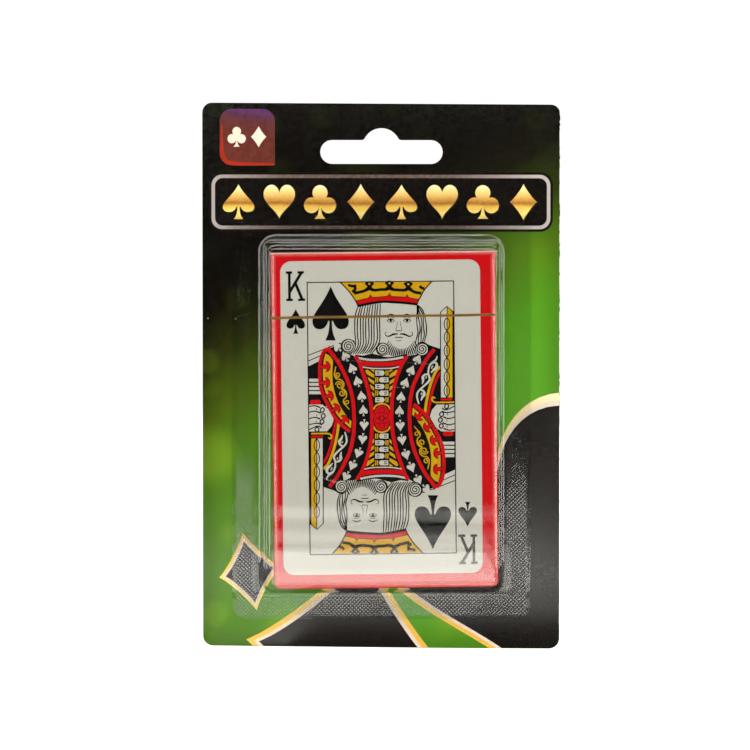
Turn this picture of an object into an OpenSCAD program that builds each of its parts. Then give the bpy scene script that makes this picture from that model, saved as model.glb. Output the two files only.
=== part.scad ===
// Boxed deck of playing cards in a blister pack for a shop peg.
// The pack stands upright: X runs to the right, Z runs up to the hang slot,
// and the printed front faces -Y. The origin is the centre of the hang slot,
// on the back face of the backing card. Millimetres.

/* [Backing card] */
// Width of the backing card
card_w = 98; // [90:0.5:120]
// Height of the backing card
card_h = 149.5; // [140:0.5:170]
// Thickness of the backing board
card_t = 0.5; // [0.4:0.05:0.8]
// Corner radius of the backing card
card_r = 3; // [1:0.5:6]
// Distance from the top edge down to the middle of the hang slot
slot_drop = 13; // [12:0.5:18]

/* [Hang slot] */
// Length of the slot, end to end
slot_len = 33.5; // [30:0.5:36]
// Height of the slot's straight part
slot_h = 6.5; // [5:0.1:7]
// Radius of the round arch over the middle of the slot
dome_r = 5.2; // [4.5:0.1:6]
// Height of the arch's centre over the middle of the slot
dome_up = 1.3; // [0.5:0.1:2]

/* [Blister] */
// Thickness of the clear sheet
sheet = 0.3; // [0.25:0.05:0.5]
// Width of the sealing flange
flange_w = 82; // [78:0.5:90]
// Height of the sealing flange
flange_h = 113; // [108:0.5:116]
// Corner radius of the flange
flange_r = 4; // [2:0.5:6]
// Inside width of the tub at the card
tub_w0 = 65.6; // [65:0.1:68]
// Inside height of the tub at the card
tub_h0 = 96.6; // [96:0.1:99]
// Inside width of the tub at its front
tub_w1 = 63.6; // [63.4:0.1:65]
// Inside height of the tub at its front
tub_h1 = 94.4; // [94.2:0.1:96]
// Inside depth of the tub, measured from the card
tub_d = 17.5; // [17.5:0.1:20]
// Distance from the hang slot down to the middle of the tub
tub_drop = 71.7; // [70:0.1:74]

/* [Tuck box] */
// Outside width of the tuck box
box_w = 60.4; // [59.8:0.1:60.8]
// Outside height of the tuck box
box_h = 90.4; // [90:0.1:90.8]
// Outside depth of the tuck box
box_d = 17; // [16.9:0.1:17.1]
// Thickness of the box board
board = 0.4; // [0.3:0.05:0.4]
// Sideways rest place of the box in the tub
box_shift = 0.5; // [0:0.1:0.6]
// How far the box has settled towards the bottom of the tub
box_settle = 0.9; // [0.5:0.1:1]
// Small turn, in degrees, at which the box has come to rest in the tub
box_turn = 0.6; // [-0.6:0.1:0.6]
// Length of the tongue that tucks in behind the back panel
tongue_len = 14; // [10:0.5:18]
// Reach of each dust flap across the top
dust_len = 21; // [15:0.5:28]
// Radius of the thumb notch in the back panel
notch_r = 8; // [6:0.5:10]

/* [Cards] */
// Width of a card
play_w = 58; // [57:0.5:58.5]
// Height of a card
play_h = 88; // [87:0.5:88]
// Corner radius of a card
play_r = 3.3; // [2.5:0.1:4]
// Thickness of a card
play_t = 0.28; // [0.25:0.005:0.28]
// Air left between two cards
play_gap = 0.004; // [0.002:0.001:0.004]

/* [Overwrap] */
// Thickness of the clear film
film = 0.05; // [0.03:0.01:0.05]
// Air between the box and the film
film_gap = 0.03; // [0.02:0.01:0.03]
// Distance from the top of the box down to the tear line
tear_drop = 17.4; // [14:0.2:24]
// Width of the tear tape
tape_w = 0.7; // [0.6:0.1:3]
// Thickness of the tear tape
tape_t = 0.04; // [0.03:0.01:0.05]

/* [Hidden] */
$fn = 64;
SUITS = ["hearts", "clubs", "diamonds", "spades"];

// Places measured up the card from the hang slot, and out from the card's back face
box_x = box_shift;
box_v = -tub_drop - box_settle;
box_z = card_t + 0.02 + film + film_gap + 0.01 + tape_t; // back face of the box, clear of the tape behind it
clear = 0.05;                              // air at folds and closures
fold_r = board / 2;                        // round of the flap's fold
wrap = film_gap + film;                    // film's outer face, out from the box
tear_v = box_h / 2 - tear_drop;            // tear line, up from the box's middle
dust_v = box_h / 2 - 2 * board - 2 * clear; // underside of the dust flaps
floor_v = -box_h / 2 + 2 * board;          // inside face of the glued bottom
stack_z = 2 * board + 3 * clear;           // first card, out from the box's back face

// Turns a shape drawn flat, with its front upwards, to stand with its front towards -Y
module upright() { rotate([90, 0, 0]) children(); }

// Puts a shape drawn about the box's middle in its place in the tub
module in_box() { upright() translate([box_x, box_v, box_z]) rotate([0, 0, box_turn]) children(); }

module rounded(w, h, r) {
    square([w - 2 * r, h], center = true);
    square([w, h - 2 * r], center = true);
    for (x = [-1, 1], y = [-1, 1])
        translate([x * (w / 2 - r), y * (h / 2 - r)]) circle(r);
}

module slab(w, h, r, z0, z1) {
    translate([0, 0, z0]) linear_extrude(height = z1 - z0) rounded(w, h, r);
}

module block(x0, x1, y0, y1, z0, z1) {
    translate([x0, y0, z0]) cube([x1 - x0, y1 - y0, z1 - z0]);
}

// Drafted tub between two rounded outlines
module drafted(w0, h0, r0, z0, w1, h1, r1, z1) {
    hull() {
        slab(w0, h0, r0, z0, z0 + 0.01, $fn = 32);
        slab(w1, h1, r1, z1 - 0.01, z1, $fn = 32);
    }
}

module backing_card() {
    color([0.16, 0.36, 0.08]) upright() difference() {
        translate([0, slot_drop - card_h / 2, 0]) slab(card_w, card_h, card_r, 0, card_t);
        // hang slot: a straight slot with round ends, and an arch over its middle
        translate([0, 0, -1]) linear_extrude(height = card_t + 2) {
            square([slot_len - slot_h, slot_h], center = true);
            for (x = [-1, 1]) translate([x * (slot_len - slot_h) / 2, 0]) circle(slot_h / 2);
            intersection() {
                translate([0, dome_up]) circle(dome_r);
                translate([-dome_r, 0]) square([2 * dome_r, dome_up + dome_r]);
            }
        }
    }
}

// One thermoformed sheet: a flange that is sealed to the card, and a drafted tub
module blister_shell() {
    z0 = card_t;
    z1 = card_t + tub_d;
    over = 0.3;   // how far each cutting tub runs below the sheet
    color([0.85, 0.9, 0.88, 0.3]) upright() translate([0, -tub_drop, 0]) difference() {
        union() {
            slab(flange_w, flange_h, flange_r, z0, z0 + sheet);
            drafted(tub_w0 + 2 * sheet, tub_h0 + 2 * sheet, 4.3, z0,
                    tub_w1 + 2 * sheet, tub_h1 + 2 * sheet, 2.3, z1 + sheet);
        }
        drafted(tub_w0 + 2 * over * 0.057, tub_h0 + 2 * over * 0.063, 4, z0 - over,
                tub_w1, tub_h1, 2, z1);
    }
}

// Film sleeve: the wrapped lower part of the box, below the tear line
module film_wall(v0, v1) {
    difference() {
        block(-box_w / 2 - wrap, box_w / 2 + wrap, v0, v1, -wrap, box_d + wrap);
        block(-box_w / 2 - film_gap, box_w / 2 + film_gap, -box_h / 2 - film_gap, box_h / 2 + film_gap,
              -film_gap, box_d + film_gap);
    }
}

module overwrap_sleeve() {
    color([0.95, 0.96, 0.97, 0.15]) in_box() film_wall(-box_h / 2 - wrap, tear_v);
}

module overwrap_cap() {
    color([0.95, 0.96, 0.97, 0.15]) in_box() film_wall(tear_v, box_h / 2 + wrap);
}

// Gold tape round the film, over the tear line
module tear_tape() {
    in = wrap + 0.01;
    out = in + tape_t;
    color([0.72, 0.52, 0.16]) in_box() difference() {
        block(-box_w / 2 - out, box_w / 2 + out, tear_v - tape_w / 2, tear_v + tape_w / 2, -out, box_d + out);
        block(-box_w / 2 - in, box_w / 2 + in, tear_v - tape_w, tear_v + tape_w, -in, box_d + in);
    }
}

// Four panels and the glued bottom, folded from one blank
module tuck_box() {
    w = box_w / 2;
    h = box_h / 2;
    color([0.82, 0.04, 0.07]) in_box() difference() {
        union() {
            // back panel
            block(-w, w, -h, h, 0, board);
            // front panel, which stops short of the flap's fold
            block(-w, w, -h, h - board - clear, box_d - board, box_d);
            // side panels, up to the folds of the dust flaps
            block(-w, -w + board, -h, dust_v + board, 0, box_d);
            block(w - board, w, -h, dust_v + board, 0, box_d);
            // bottom: the outer flap over the inner one
            block(-w, w, -h, floor_v, 0, box_d);
        }
        // thumb notch in the top of the back panel
        translate([0, h, -1]) cylinder(h = board + 1.5, r = notch_r);
    }
}

// Top closure, hinged on a fold along the top of the front panel
module tuck_flap() {
    v = box_h / 2;
    z = box_d - fold_r;
    color([0.82, 0.04, 0.07]) in_box() {
        block(-box_w / 2, box_w / 2, v - board, v, board + clear, z);
        translate([-box_w / 2, v - fold_r, z]) rotate([0, 90, 0]) cylinder(h = box_w, r = fold_r);
    }
}

// Tongue on the flap's far edge, tucked in behind the back panel
module tuck_tongue() {
    w = box_w - 3;
    v = box_h / 2 - board;
    r = 5;
    color([0.9, 0.88, 0.84]) in_box() translate([0, 0, board + clear]) linear_extrude(height = board) {
        translate([-w / 2, v - tongue_len + r]) square([w, tongue_len - r]);
        translate([-w / 2 + r, v - tongue_len]) square([w - 2 * r, r]);
        for (x = [-1, 1]) translate([x * (w / 2 - r), v - tongue_len + r]) circle(r);
    }
}

// Dust flap folded in from a side panel, under the top closure
module dust_flap(side) {
    w = box_w / 2 - board;
    r = 6;
    z0 = 2 * board + 2 * clear;
    z1 = box_d - board - 0.1;
    color([0.9, 0.88, 0.84]) in_box() mirror([side > 0 ? 0 : 1, 0, 0])
        translate([0, dust_v + board, 0]) rotate([90, 0, 0]) linear_extrude(height = board) {
            translate([w - dust_len + r, z0]) square([dust_len - r, z1 - z0]);
            translate([w - dust_len, z0 + r]) square([r, z1 - z0 - 2 * r]);
            for (z = [z0 + r, z1 - r]) translate([w - dust_len + r, z]) circle(r);
        }
}

// One card of the stack, counted from the back of the box
module card(i) {
    x = 0.18 * sin(97 * i);
    in_box() translate([x, floor_v + clear + play_h / 2, 0])
        slab(play_w, play_h, play_r, stack_z + i * (play_t + play_gap), stack_z + i * (play_t + play_gap) + play_t);
}

module cards(first, last) { color([0.95, 0.94, 0.9]) for (i = [first : last]) card(i); }

backing_card();
blister_shell();
overwrap_sleeve();
overwrap_cap();
tear_tape();
tuck_box();
tuck_flap();
tuck_tongue();
dust_flap(-1);  // dust_flap_left
dust_flap(1);  // dust_flap_right
// New-pack order: two jokers at the back, then each suit from ace to king
cards(0, 1);  // jokers
for (s = [0 : 3]) {
    n = 2 + 13 * s;
    cards(n, n);
    cards(n + 1, n + 9);
    cards(n + 10, n + 10);
    cards(n + 11, n + 11);
    cards(n + 12, n + 12);
}
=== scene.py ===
import math
import random

import bmesh
import bpy
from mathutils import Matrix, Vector
from mathutils.geometry import tessellate_polygon


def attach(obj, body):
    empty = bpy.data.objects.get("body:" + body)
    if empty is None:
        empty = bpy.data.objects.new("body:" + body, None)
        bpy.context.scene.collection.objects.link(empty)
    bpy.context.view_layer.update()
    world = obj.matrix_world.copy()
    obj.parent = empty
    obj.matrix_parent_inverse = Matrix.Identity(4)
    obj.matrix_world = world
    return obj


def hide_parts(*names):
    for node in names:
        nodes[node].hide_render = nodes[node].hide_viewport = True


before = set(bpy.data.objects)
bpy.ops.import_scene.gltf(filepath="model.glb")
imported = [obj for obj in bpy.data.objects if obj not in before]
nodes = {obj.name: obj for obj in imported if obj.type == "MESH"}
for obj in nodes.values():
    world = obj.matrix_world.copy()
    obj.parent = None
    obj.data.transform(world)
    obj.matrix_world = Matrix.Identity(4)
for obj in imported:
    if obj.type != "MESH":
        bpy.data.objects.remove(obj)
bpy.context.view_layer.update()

scene = bpy.context.scene
MM = 0.001
rng = random.Random(52)

scene.view_settings.view_transform = "Standard"
scene.view_settings.look = "None"
scene.view_settings.exposure = 0.0
scene.view_settings.gamma = 1.0
scene.cycles.transparent_max_bounces = 40
scene.cycles.max_bounces = 12

# ---------------------------------------------------------------- sizes, millimetres
CARD_W, CARD_TOP, CARD_BOTTOM, CARD_T, CARD_R = 98.0, 13.0, -136.5, 0.5, 3.0
TUB_V = -71.7
BOX_X, BOX_V, BOX_Z, BOX_TURN = 0.5, -72.6, 0.65, math.radians(0.6)
BOX_W, BOX_H, BOX_D, BOARD = 60.4, 90.4, 17.0, 0.4
TEAR_V = 27.8
COS_T, SIN_T = math.cos(BOX_TURN), math.sin(BOX_TURN)


def warp(x, z):
    """The card's top and bottom edges are cut a little out of square, and its lower left corner lifts."""
    f = min(max((-z - 112.0) / 24.5, 0.0), 1.0)
    g = min(max((49.0 - x) / 98.0, 0.0), 1.0)
    c = min(max((-z - 127.0) / 9.5, 0.0), 1.0) * min(max((-x - 39.0) / 10.0, 0.0), 1.0)
    e = min(max((z - 7.0) / 6.0, 0.0), 1.0)
    return 1.15 * f * f * g ** 1.3 + 0.42 * e * g, 0.5 * c * c


def on_card(u, v, h):
    """A point on the printed face of the flat backing card, h in front of it."""
    return (u * MM, -(CARD_T + h) * MM, v * MM)


def in_box(u, v, w):
    """A point of the tuck box, from the middle of its back face."""
    return (
        (BOX_X + COS_T * u - SIN_T * v) * MM,
        -(BOX_Z + w) * MM,
        (BOX_V + SIN_T * u + COS_T * v) * MM,
    )


def on_box(u, v, h):
    """A point on the front panel of the tuck box, h in front of it."""
    return in_box(u, v, BOX_D + h)


# ---------------------------------------------------------------- material tools
def lin(r, g, b, a=1.0):
    def one(c):
        c /= 255.0
        return c / 12.92 if c <= 0.04045 else ((c + 0.055) / 1.055) ** 2.4

    return (one(r), one(g), one(b), a)


class Shade:
    def __init__(self, name):
        self.mat = bpy.data.materials.new(name)
        self.mat.use_nodes = True
        self.tree = self.mat.node_tree
        self.tree.nodes.clear()
        self.out = self.tree.nodes.new("ShaderNodeOutputMaterial")

    def put(self, sock, value):
        if isinstance(value, bpy.types.NodeSocket):
            self.tree.links.new(value, sock)
        else:
            sock.default_value = value

    def node(self, kind, **props):
        n = self.tree.nodes.new("ShaderNode" + kind)
        for k, v in props.items():
            setattr(n, k, v)
        return n

    def math(self, op, a, b=None, c=None, clamp=False):
        n = self.node("Math", operation=op, use_clamp=clamp)
        for i, v in enumerate((a, b, c)):
            if v is not None:
                self.put(n.inputs[i], v)
        return n.outputs[0]

    def place(self):
        return self.node("TexCoord").outputs["Object"]

    def normal(self):
        return self.node("TexCoord").outputs["Normal"]

    def xyz(self, vec):
        n = self.node("SeparateXYZ")
        self.put(n.inputs[0], vec)
        return n.outputs

    def stretch(self, vec, scale):
        n = self.node("VectorMath", operation="MULTIPLY")
        self.put(n.inputs[0], vec)
        n.inputs[1].default_value = scale
        return n.outputs[0]

    def noise(self, vec, scale, detail=3.0, rough=0.55):
        n = self.node("TexNoise")
        self.put(n.inputs["Vector"], vec)
        n.inputs["Scale"].default_value = scale
        n.inputs["Detail"].default_value = detail
        n.inputs["Roughness"].default_value = rough
        return n.outputs[0]

    def cells(self, vec, scale, feature="F1"):
        n = self.node("TexVoronoi", feature=feature)
        self.put(n.inputs["Vector"], vec)
        n.inputs["Scale"].default_value = scale
        return n.outputs

    def span(self, value, a, b, lo=0.0, hi=1.0, smooth=True):
        n = self.node("MapRange", interpolation_type="SMOOTHSTEP" if smooth else "LINEAR")
        self.put(n.inputs["Value"], value)
        for k, v in (("From Min", a), ("From Max", b), ("To Min", lo), ("To Max", hi)):
            n.inputs[k].default_value = v
        return n.outputs[0]

    def mix(self, fac, a, b, blend="MIX"):
        n = self.node("Mix", data_type="RGBA", blend_type=blend)
        self.put(n.inputs[0], fac)
        self.put(n.inputs[6], a)
        self.put(n.inputs[7], b)
        return n.outputs[2]

    def ramp(self, fac, stops):
        n = self.node("ValToRGB")
        self.put(n.inputs[0], fac)
        e = n.color_ramp.elements
        while len(e) < len(stops):
            e.new(0.5)
        for i, (p, c) in enumerate(stops):
            e[i].position = p
            e[i].color = c
        return n.outputs[0]

    def bump(self, height, strength, distance):
        n = self.node("Bump")
        self.put(n.inputs["Height"], height)
        n.inputs["Strength"].default_value = strength
        n.inputs["Distance"].default_value = distance
        return n.outputs[0]

    def principled(self, color, rough, normal=None, **sockets):
        n = self.node("BsdfPrincipled")
        self.put(n.inputs["Base Color"], color)
        self.put(n.inputs["Roughness"], rough)
        if normal is not None:
            self.put(n.inputs["Normal"], normal)
        for k, v in sockets.items():
            self.put(n.inputs[k.replace("_", " ")], v)
        return n.outputs[0]

    def done(self, shader):
        self.put(self.out.inputs["Surface"], shader)
        return self.mat


def ink_material(name, color, deep, rough=0.42, grain=900.0):
    """Offset ink on coated board: a little mottle, and gloss that varies with the coat."""
    s = Shade(name)
    p = s.place()
    mottle = s.noise(p, grain, 4.0, 0.6)
    cloud = s.noise(p, 60.0, 2.0, 0.5)
    fac = s.math("MULTIPLY", s.span(mottle, 0.3, 0.75), s.span(cloud, 0.2, 0.8, 0.35, 1.0))
    col = s.mix(fac, color, deep)
    r = s.span(mottle, 0.25, 0.75, rough - 0.06, rough + 0.08)
    return s.done(s.principled(col, r, s.bump(mottle, 0.12, 0.00002), Specular_IOR_Level=0.03))


def board_material(name, color, deep, scale=500.0):
    """Bare paperboard: fibres, flecks and a dull surface."""
    s = Shade(name)
    p = s.place()
    fibre = s.noise(s.stretch(p, (1.0, 1.0, 0.35)), scale, 6.0, 0.65)
    fleck = s.noise(p, scale * 3.5, 2.0, 0.5)
    col = s.mix(s.span(fibre, 0.3, 0.7), color, deep)
    col = s.mix(s.span(fleck, 0.66, 0.74, 0.0, 0.45), col, lin(120, 108, 92))
    return s.done(s.principled(col, s.span(fibre, 0.3, 0.7, 0.75, 0.92), s.bump(fibre, 0.3, 0.00004), Specular_IOR_Level=0.25))


# Ink colours of the card face
INK = {
    "white": ink_material("ink_card_face", lin(208, 202, 190), lin(201, 195, 183), 0.36),
    "black": ink_material("ink_black", lin(9, 7, 5), lin(15, 12, 10), 0.40),
    "red": ink_material("ink_red", lin(214, 5, 15), lin(202, 4, 12), 0.40),
    "yellow": ink_material("ink_yellow", lin(217, 166, 9), lin(203, 152, 7), 0.40),
}


def red_board():
    """Red printed box board, paler along the folds: partly rubbed wear, partly a painted highlight of light catching
    the rounded folds.
    """
    s = Shade("red_box_board")
    p = s.place()
    rel = s.node("VectorMath", operation="SUBTRACT")
    s.put(rel.inputs[0], p)
    rel.inputs[1].default_value = in_box(0.0, 0.0, BOX_D / 2)

    def along(axis):
        n = s.node("VectorMath", operation="DOT_PRODUCT")
        s.put(n.inputs[0], rel.outputs[0])
        n.inputs[1].default_value = axis
        return s.math("ABSOLUTE", n.outputs["Value"])

    du = along((COS_T, 0.0, SIN_T))
    dv = along((-SIN_T, 0.0, COS_T))
    dw = along((0.0, 1.0, 0.0))
    # a fold lies where two of the three distances are near their limits
    eu = s.span(du, 0.0285, 0.0301)
    ev = s.span(dv, 0.0438, 0.0452)
    ew = s.span(dw, 0.0080, 0.00855)
    pair = s.math("MAXIMUM", s.math("MULTIPLY", eu, ew), s.math("MULTIPLY", ev, ew))
    pair = s.math("MAXIMUM", pair, s.math("MULTIPLY", eu, ev))
    grit = s.noise(p, 420.0, 5.0, 0.65)
    # the fold mask carries real rubbing and also a painted highlight along the rounded edges
    rub_and_painted_highlight = s.math("MULTIPLY", pair, s.span(grit, 0.28, 0.62, 0.60, 1.0))
    mottle = s.noise(p, 700.0, 4.0, 0.6)
    cloud = s.noise(p, 38.0, 3.0, 0.5)
    col = s.mix(s.span(mottle, 0.3, 0.75), lin(215, 4, 13), lin(200, 3, 10))
    col = s.mix(s.span(cloud, 0.35, 0.7, 0.0, 0.5), col, lin(212, 8, 18))
    # pale pink on the folds: rubbed board plus a painted highlight
    col = s.mix(s.math("MULTIPLY", rub_and_painted_highlight, 0.85), col, lin(240, 158, 146))
    rough = s.span(mottle, 0.25, 0.75, 0.34, 0.46)
    return s.done(s.principled(col, rough, s.bump(mottle, 0.18, 0.00003), Specular_IOR_Level=0.04))


RED_BOARD = red_board()
BARE_BOARD = board_material("bare_box_board", lin(222, 216, 203), lin(206, 198, 183))
GREY_BOARD = board_material("grey_back_board", lin(205, 200, 190), lin(196, 190, 180), 900.0)
CORE_BOARD = board_material("board_core", lin(214, 208, 196), lin(182, 174, 160), 700.0)


def flap_board():
    """The closure: printed outside, bare inside and at its cut edges."""
    s = Shade("closure_board")
    p = s.place()
    up = s.xyz(s.normal())[2]
    mottle = s.noise(p, 700.0, 4.0, 0.6)
    fibre = s.noise(p, 480.0, 6.0, 0.65)
    red = s.mix(s.span(mottle, 0.3, 0.75), lin(195, 8, 18), lin(180, 6, 15))
    bare = s.mix(s.span(fibre, 0.3, 0.7), lin(222, 216, 203), lin(204, 196, 181))
    out = s.span(up, 0.2, 0.4)
    col = s.mix(out, bare, red)
    return s.done(s.principled(col, s.span(out, 0.0, 1.0, 0.82, 0.40), s.bump(fibre, 0.2, 0.00003), Specular_IOR_Level=0.35))


def card_stock():
    """A stack of coated cards: each edge a little different, with a soft grain."""
    s = Shade("card_stock")
    p = s.place()
    isl = s.node("NewGeometry").outputs["Random Per Island"]
    fibre = s.noise(s.stretch(p, (1.0, 6.0, 1.0)), 420.0, 4.0, 0.6)
    col = s.mix(isl, lin(240, 237, 228), lin(205, 202, 194))
    col = s.mix(s.span(fibre, 0.35, 0.75, 0.0, 0.5), col, lin(190, 186, 178))
    return s.done(s.principled(col, s.span(fibre, 0.3, 0.7, 0.45, 0.62), s.bump(fibre, 0.2, 0.00003), Specular_IOR_Level=0.4))


def card_print():
    """The backing card's printed face: black at the top running into green, under gloss varnish."""
    s = Shade("backing_print")
    p = s.place()
    x, y, z = s.xyz(p)[:3]
    drift = s.noise(p, 14.0, 2.0, 0.5)
    # how far down and to the right, in metres, with a slow drift
    run = s.math("MULTIPLY_ADD", x, 0.52, s.math("MULTIPLY_ADD", z, -1.0, -0.018))
    run = s.math("ADD", run, s.math("MULTIPLY", s.math("SUBTRACT", drift, 0.5), 0.020))
    tone = s.span(run, -0.010, 0.060, smooth=False)
    col = s.ramp(
        tone,
        [
            (0.0, lin(9, 6, 3)),
            (0.18, lin(18, 16, 5)),
            (0.38, lin(48, 62, 10)),
            (0.60, lin(84, 126, 16)),
            (0.80, lin(88, 160, 26)),
            (1.0, lin(92, 166, 34)),
        ],
    )
    # the left side is more olive
    col = s.mix(s.span(x, -0.047, -0.004, 1.0, 0.0), col, lin(222, 198, 116), "MULTIPLY")
    # soft out-of-focus lights
    far = s.cells(s.stretch(p, (1.0, 0.0, 1.0)), 46.0)
    disc = s.span(far["Distance"], 0.14, 0.50, 1.0, 0.0)
    pick = s.xyz(far["Color"])[0]
    disc = s.math("MULTIPLY", disc, s.span(pick, 0.40, 0.9))
    near = s.cells(s.stretch(p, (1.0, 0.0, 1.0)), 95.0)
    disc2 = s.math("MULTIPLY", s.span(near["Distance"], 0.18, 0.46, 1.0, 0.0), s.span(s.xyz(near["Color"])[1], 0.6, 1.0))
    glow = s.math("MULTIPLY_ADD", disc2, 0.5, disc, clamp=True)
    glow = s.math("MULTIPLY", glow, s.span(tone, 0.05, 0.75, 0.02, 0.34))
    col = s.mix(glow, col, lin(150, 192, 40))
    # darker towards the outer edges
    rim = s.span(s.math("ABSOLUTE", x), 0.0415, 0.0500)
    low = s.span(z, -0.1375, -0.124, 1.0, 0.0)
    col = s.mix(s.math("MULTIPLY", s.math("MAXIMUM", rim, low), 0.60), col, lin(150, 142, 100), "MULTIPLY")
    # screen dots of the print, and dust
    dots = s.cells(s.stretch(p, (1.0, 0.0, 1.0)), 3600.0)["Distance"]
    col = s.mix(s.span(dots, 0.2, 0.6, 0.0, 0.04), col, lin(20, 24, 8))
    dust = s.cells(s.stretch(p, (1.0, 0.0, 1.0)), 330.0)
    speck = s.math("MULTIPLY", s.span(dust["Distance"], 0.05, 0.10, 1.0, 0.0), s.span(s.xyz(dust["Color"])[2], 0.93, 0.97))
    col = s.mix(s.math("MULTIPLY", speck, 0.60), col, lin(210, 205, 195))
    # the print is rubbed off along the right edge
    rub = s.math("MULTIPLY", s.span(x, 0.04872, 0.04892), s.span(s.noise(p, 520.0, 4.0, 0.6), 0.40, 0.52))
    col = s.mix(rub, col, lin(232, 228, 220))
    wave = s.noise(p, 34.0, 2.0, 0.5)
    peel = s.noise(p, 900.0, 3.0, 0.5)
    h = s.math("MULTIPLY_ADD", peel, 0.06, wave)
    rough = s.span(peel, 0.3, 0.7, 0.13, 0.19)
    return s.done(s.principled(col, rough, s.bump(h, 0.05, 0.0006), Specular_IOR_Level=0.40))


def clear_sheet(name, tint, f0, rough, scuffs, graze, wave_scale, wave, stretch=(1.0, 1.0, 1.0), flange=None, body=0.62):
    """Clear sheet: what is behind shows through, with a mirror gloss that grows at grazing angles, scuffs and dust."""
    s = Shade(name)
    p = s.place()
    ripple = s.noise(s.stretch(p, stretch), wave_scale, 2.0, 0.45)
    fine = s.noise(p, 260.0, 3.0, 0.5)
    bump = s.bump(s.math("MULTIPLY_ADD", fine, 0.006, ripple), 1.0, wave)
    lw = s.node("LayerWeight")
    lw.inputs["Blend"].default_value = 0.5
    s.put(lw.inputs["Normal"], bump)
    grow = s.math("POWER", lw.outputs["Facing"], 5.0)
    fac = s.math("MULTIPLY_ADD", grow, 1.0 - f0, f0, clamp=True)
    if flange:
        # the seal was pressed harder low down: higher up the flange lies wet on the print and shows little gloss
        half_x, mid_z, half_z, low, high = flange
        x, y, z = s.xyz(p)[:3]
        off_z = s.math("ABSOLUTE", s.math("SUBTRACT", z, mid_z))
        out = s.math("MAXIMUM", s.span(s.math("ABSOLUTE", x), half_x, half_x + 0.0006), s.span(off_z, half_z, half_z + 0.0006))
        fac = s.math("MULTIPLY", fac, s.math("MULTIPLY_ADD", s.math("MULTIPLY", out, s.span(z, low, high)), -0.92, 1.0))
        # the tool's points are frosted
        rows = s.math("COSINE", s.math("MULTIPLY", s.math("ADD", x, 0.041), math.pi / (0.082 / 154)))
        lines = s.math("COSINE", s.math("MULTIPLY", s.math("SUBTRACT", z, mid_z - 0.0565), math.pi / (0.113 / 212)))
        frost = s.span(s.math("MULTIPLY", rows, lines), 0.15, 0.75)
        edge = s.math("MAXIMUM", s.span(s.math("ABSOLUTE", x), 0.0395, 0.0403), s.span(off_z, 0.0550, 0.0558))
        band = s.math("MULTIPLY", s.math("MULTIPLY", out, s.math("SUBTRACT", 1.0, edge)), s.span(z, low, high, 1.0, 0.0))
        frost = s.math("MULTIPLY", s.math("MULTIPLY", frost, band), s.span(s.noise(p, 75.0, 2.0, 0.5), 0.28, 0.60, 0.15, 0.44))
    # seen along the sheet, more of it lies in the way
    through = s.node("LayerWeight")
    through.inputs["Blend"].default_value = 0.5
    clear = s.node("BsdfTransparent")
    s.put(clear.inputs["Color"], s.mix(s.math("MULTIPLY", s.math("POWER", through.outputs["Facing"], 1.4), body), tint, (0.42, 0.47, 0.46, 1.0)))
    gloss = s.principled((1.0, 1.0, 1.0, 1.0), s.span(fine, 0.3, 0.7, rough * 0.7, rough * 1.4), bump, Metallic=1.0)
    m = s.node("MixShader")
    s.put(m.inputs[0], fac)
    s.put(m.inputs[1], clear.outputs[0])
    s.put(m.inputs[2], gloss)
    # fine scuffs in one main direction, and grains of dust
    scratch = s.noise(s.stretch(p, (9.0, 9.0, 0.5)), 190.0, 2.0, 0.5)
    dust = s.cells(p, 300.0)
    grain = s.math("MULTIPLY", s.span(dust["Distance"], 0.03, 0.07, 1.0, 0.0), s.span(s.xyz(dust["Color"])[0], 0.90, 0.95))
    veil = s.math("MULTIPLY_ADD", s.span(scratch, 0.70, 0.80), scuffs, s.math("MULTIPLY", grain, scuffs * 4.0), clamp=True)
    # seen along the sheet, its body looks milky
    veil = s.math("MULTIPLY_ADD", s.math("POWER", lw.outputs["Facing"], 3.0), graze, veil, clamp=True)
    if flange:
        veil = s.math("ADD", veil, frost, clamp=True)
    haze = s.principled((0.80, 0.80, 0.78, 1.0), 0.6, bump)
    m2 = s.node("MixShader")
    s.put(m2.inputs[0], veil)
    s.put(m2.inputs[1], m.outputs[0])
    s.put(m2.inputs[2], haze)
    return s.done(m2.outputs[0])


BLISTER = clear_sheet("clear_blister_sheet", (0.995, 1.0, 0.995, 1.0), 0.036, 0.026, 0.030, 0.015, 26.0, 0.000008,
                      flange=(0.0341, TUB_V * MM, 0.0496, -0.096, -0.080))
SEALED = clear_sheet("clear_sheet_inside", (0.998, 1.0, 0.998, 1.0), 0.004, 0.060, 0.004, 0.004, 26.0, 0.00002)
FILM = clear_sheet("clear_wrap_film", (1.0, 1.0, 1.0, 1.0), 0.034, 0.024, 0.020, 0.015, 36.0, 0.000008, (0.35, 1.0, 1.0), body=0.25)


def gold_tape():
    s = Shade("gold_tear_tape")
    p = s.place()
    streak = s.noise(s.stretch(p, (0.3, 0.3, 9.0)), 420.0, 3.0, 0.6)
    col = s.mix(s.span(streak, 0.3, 0.7), lin(150, 112, 56), lin(112, 80, 36))
    return s.done(s.principled(col, s.span(streak, 0.3, 0.7, 0.30, 0.46), s.bump(streak, 0.2, 0.00002), Metallic=0.75))


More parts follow.
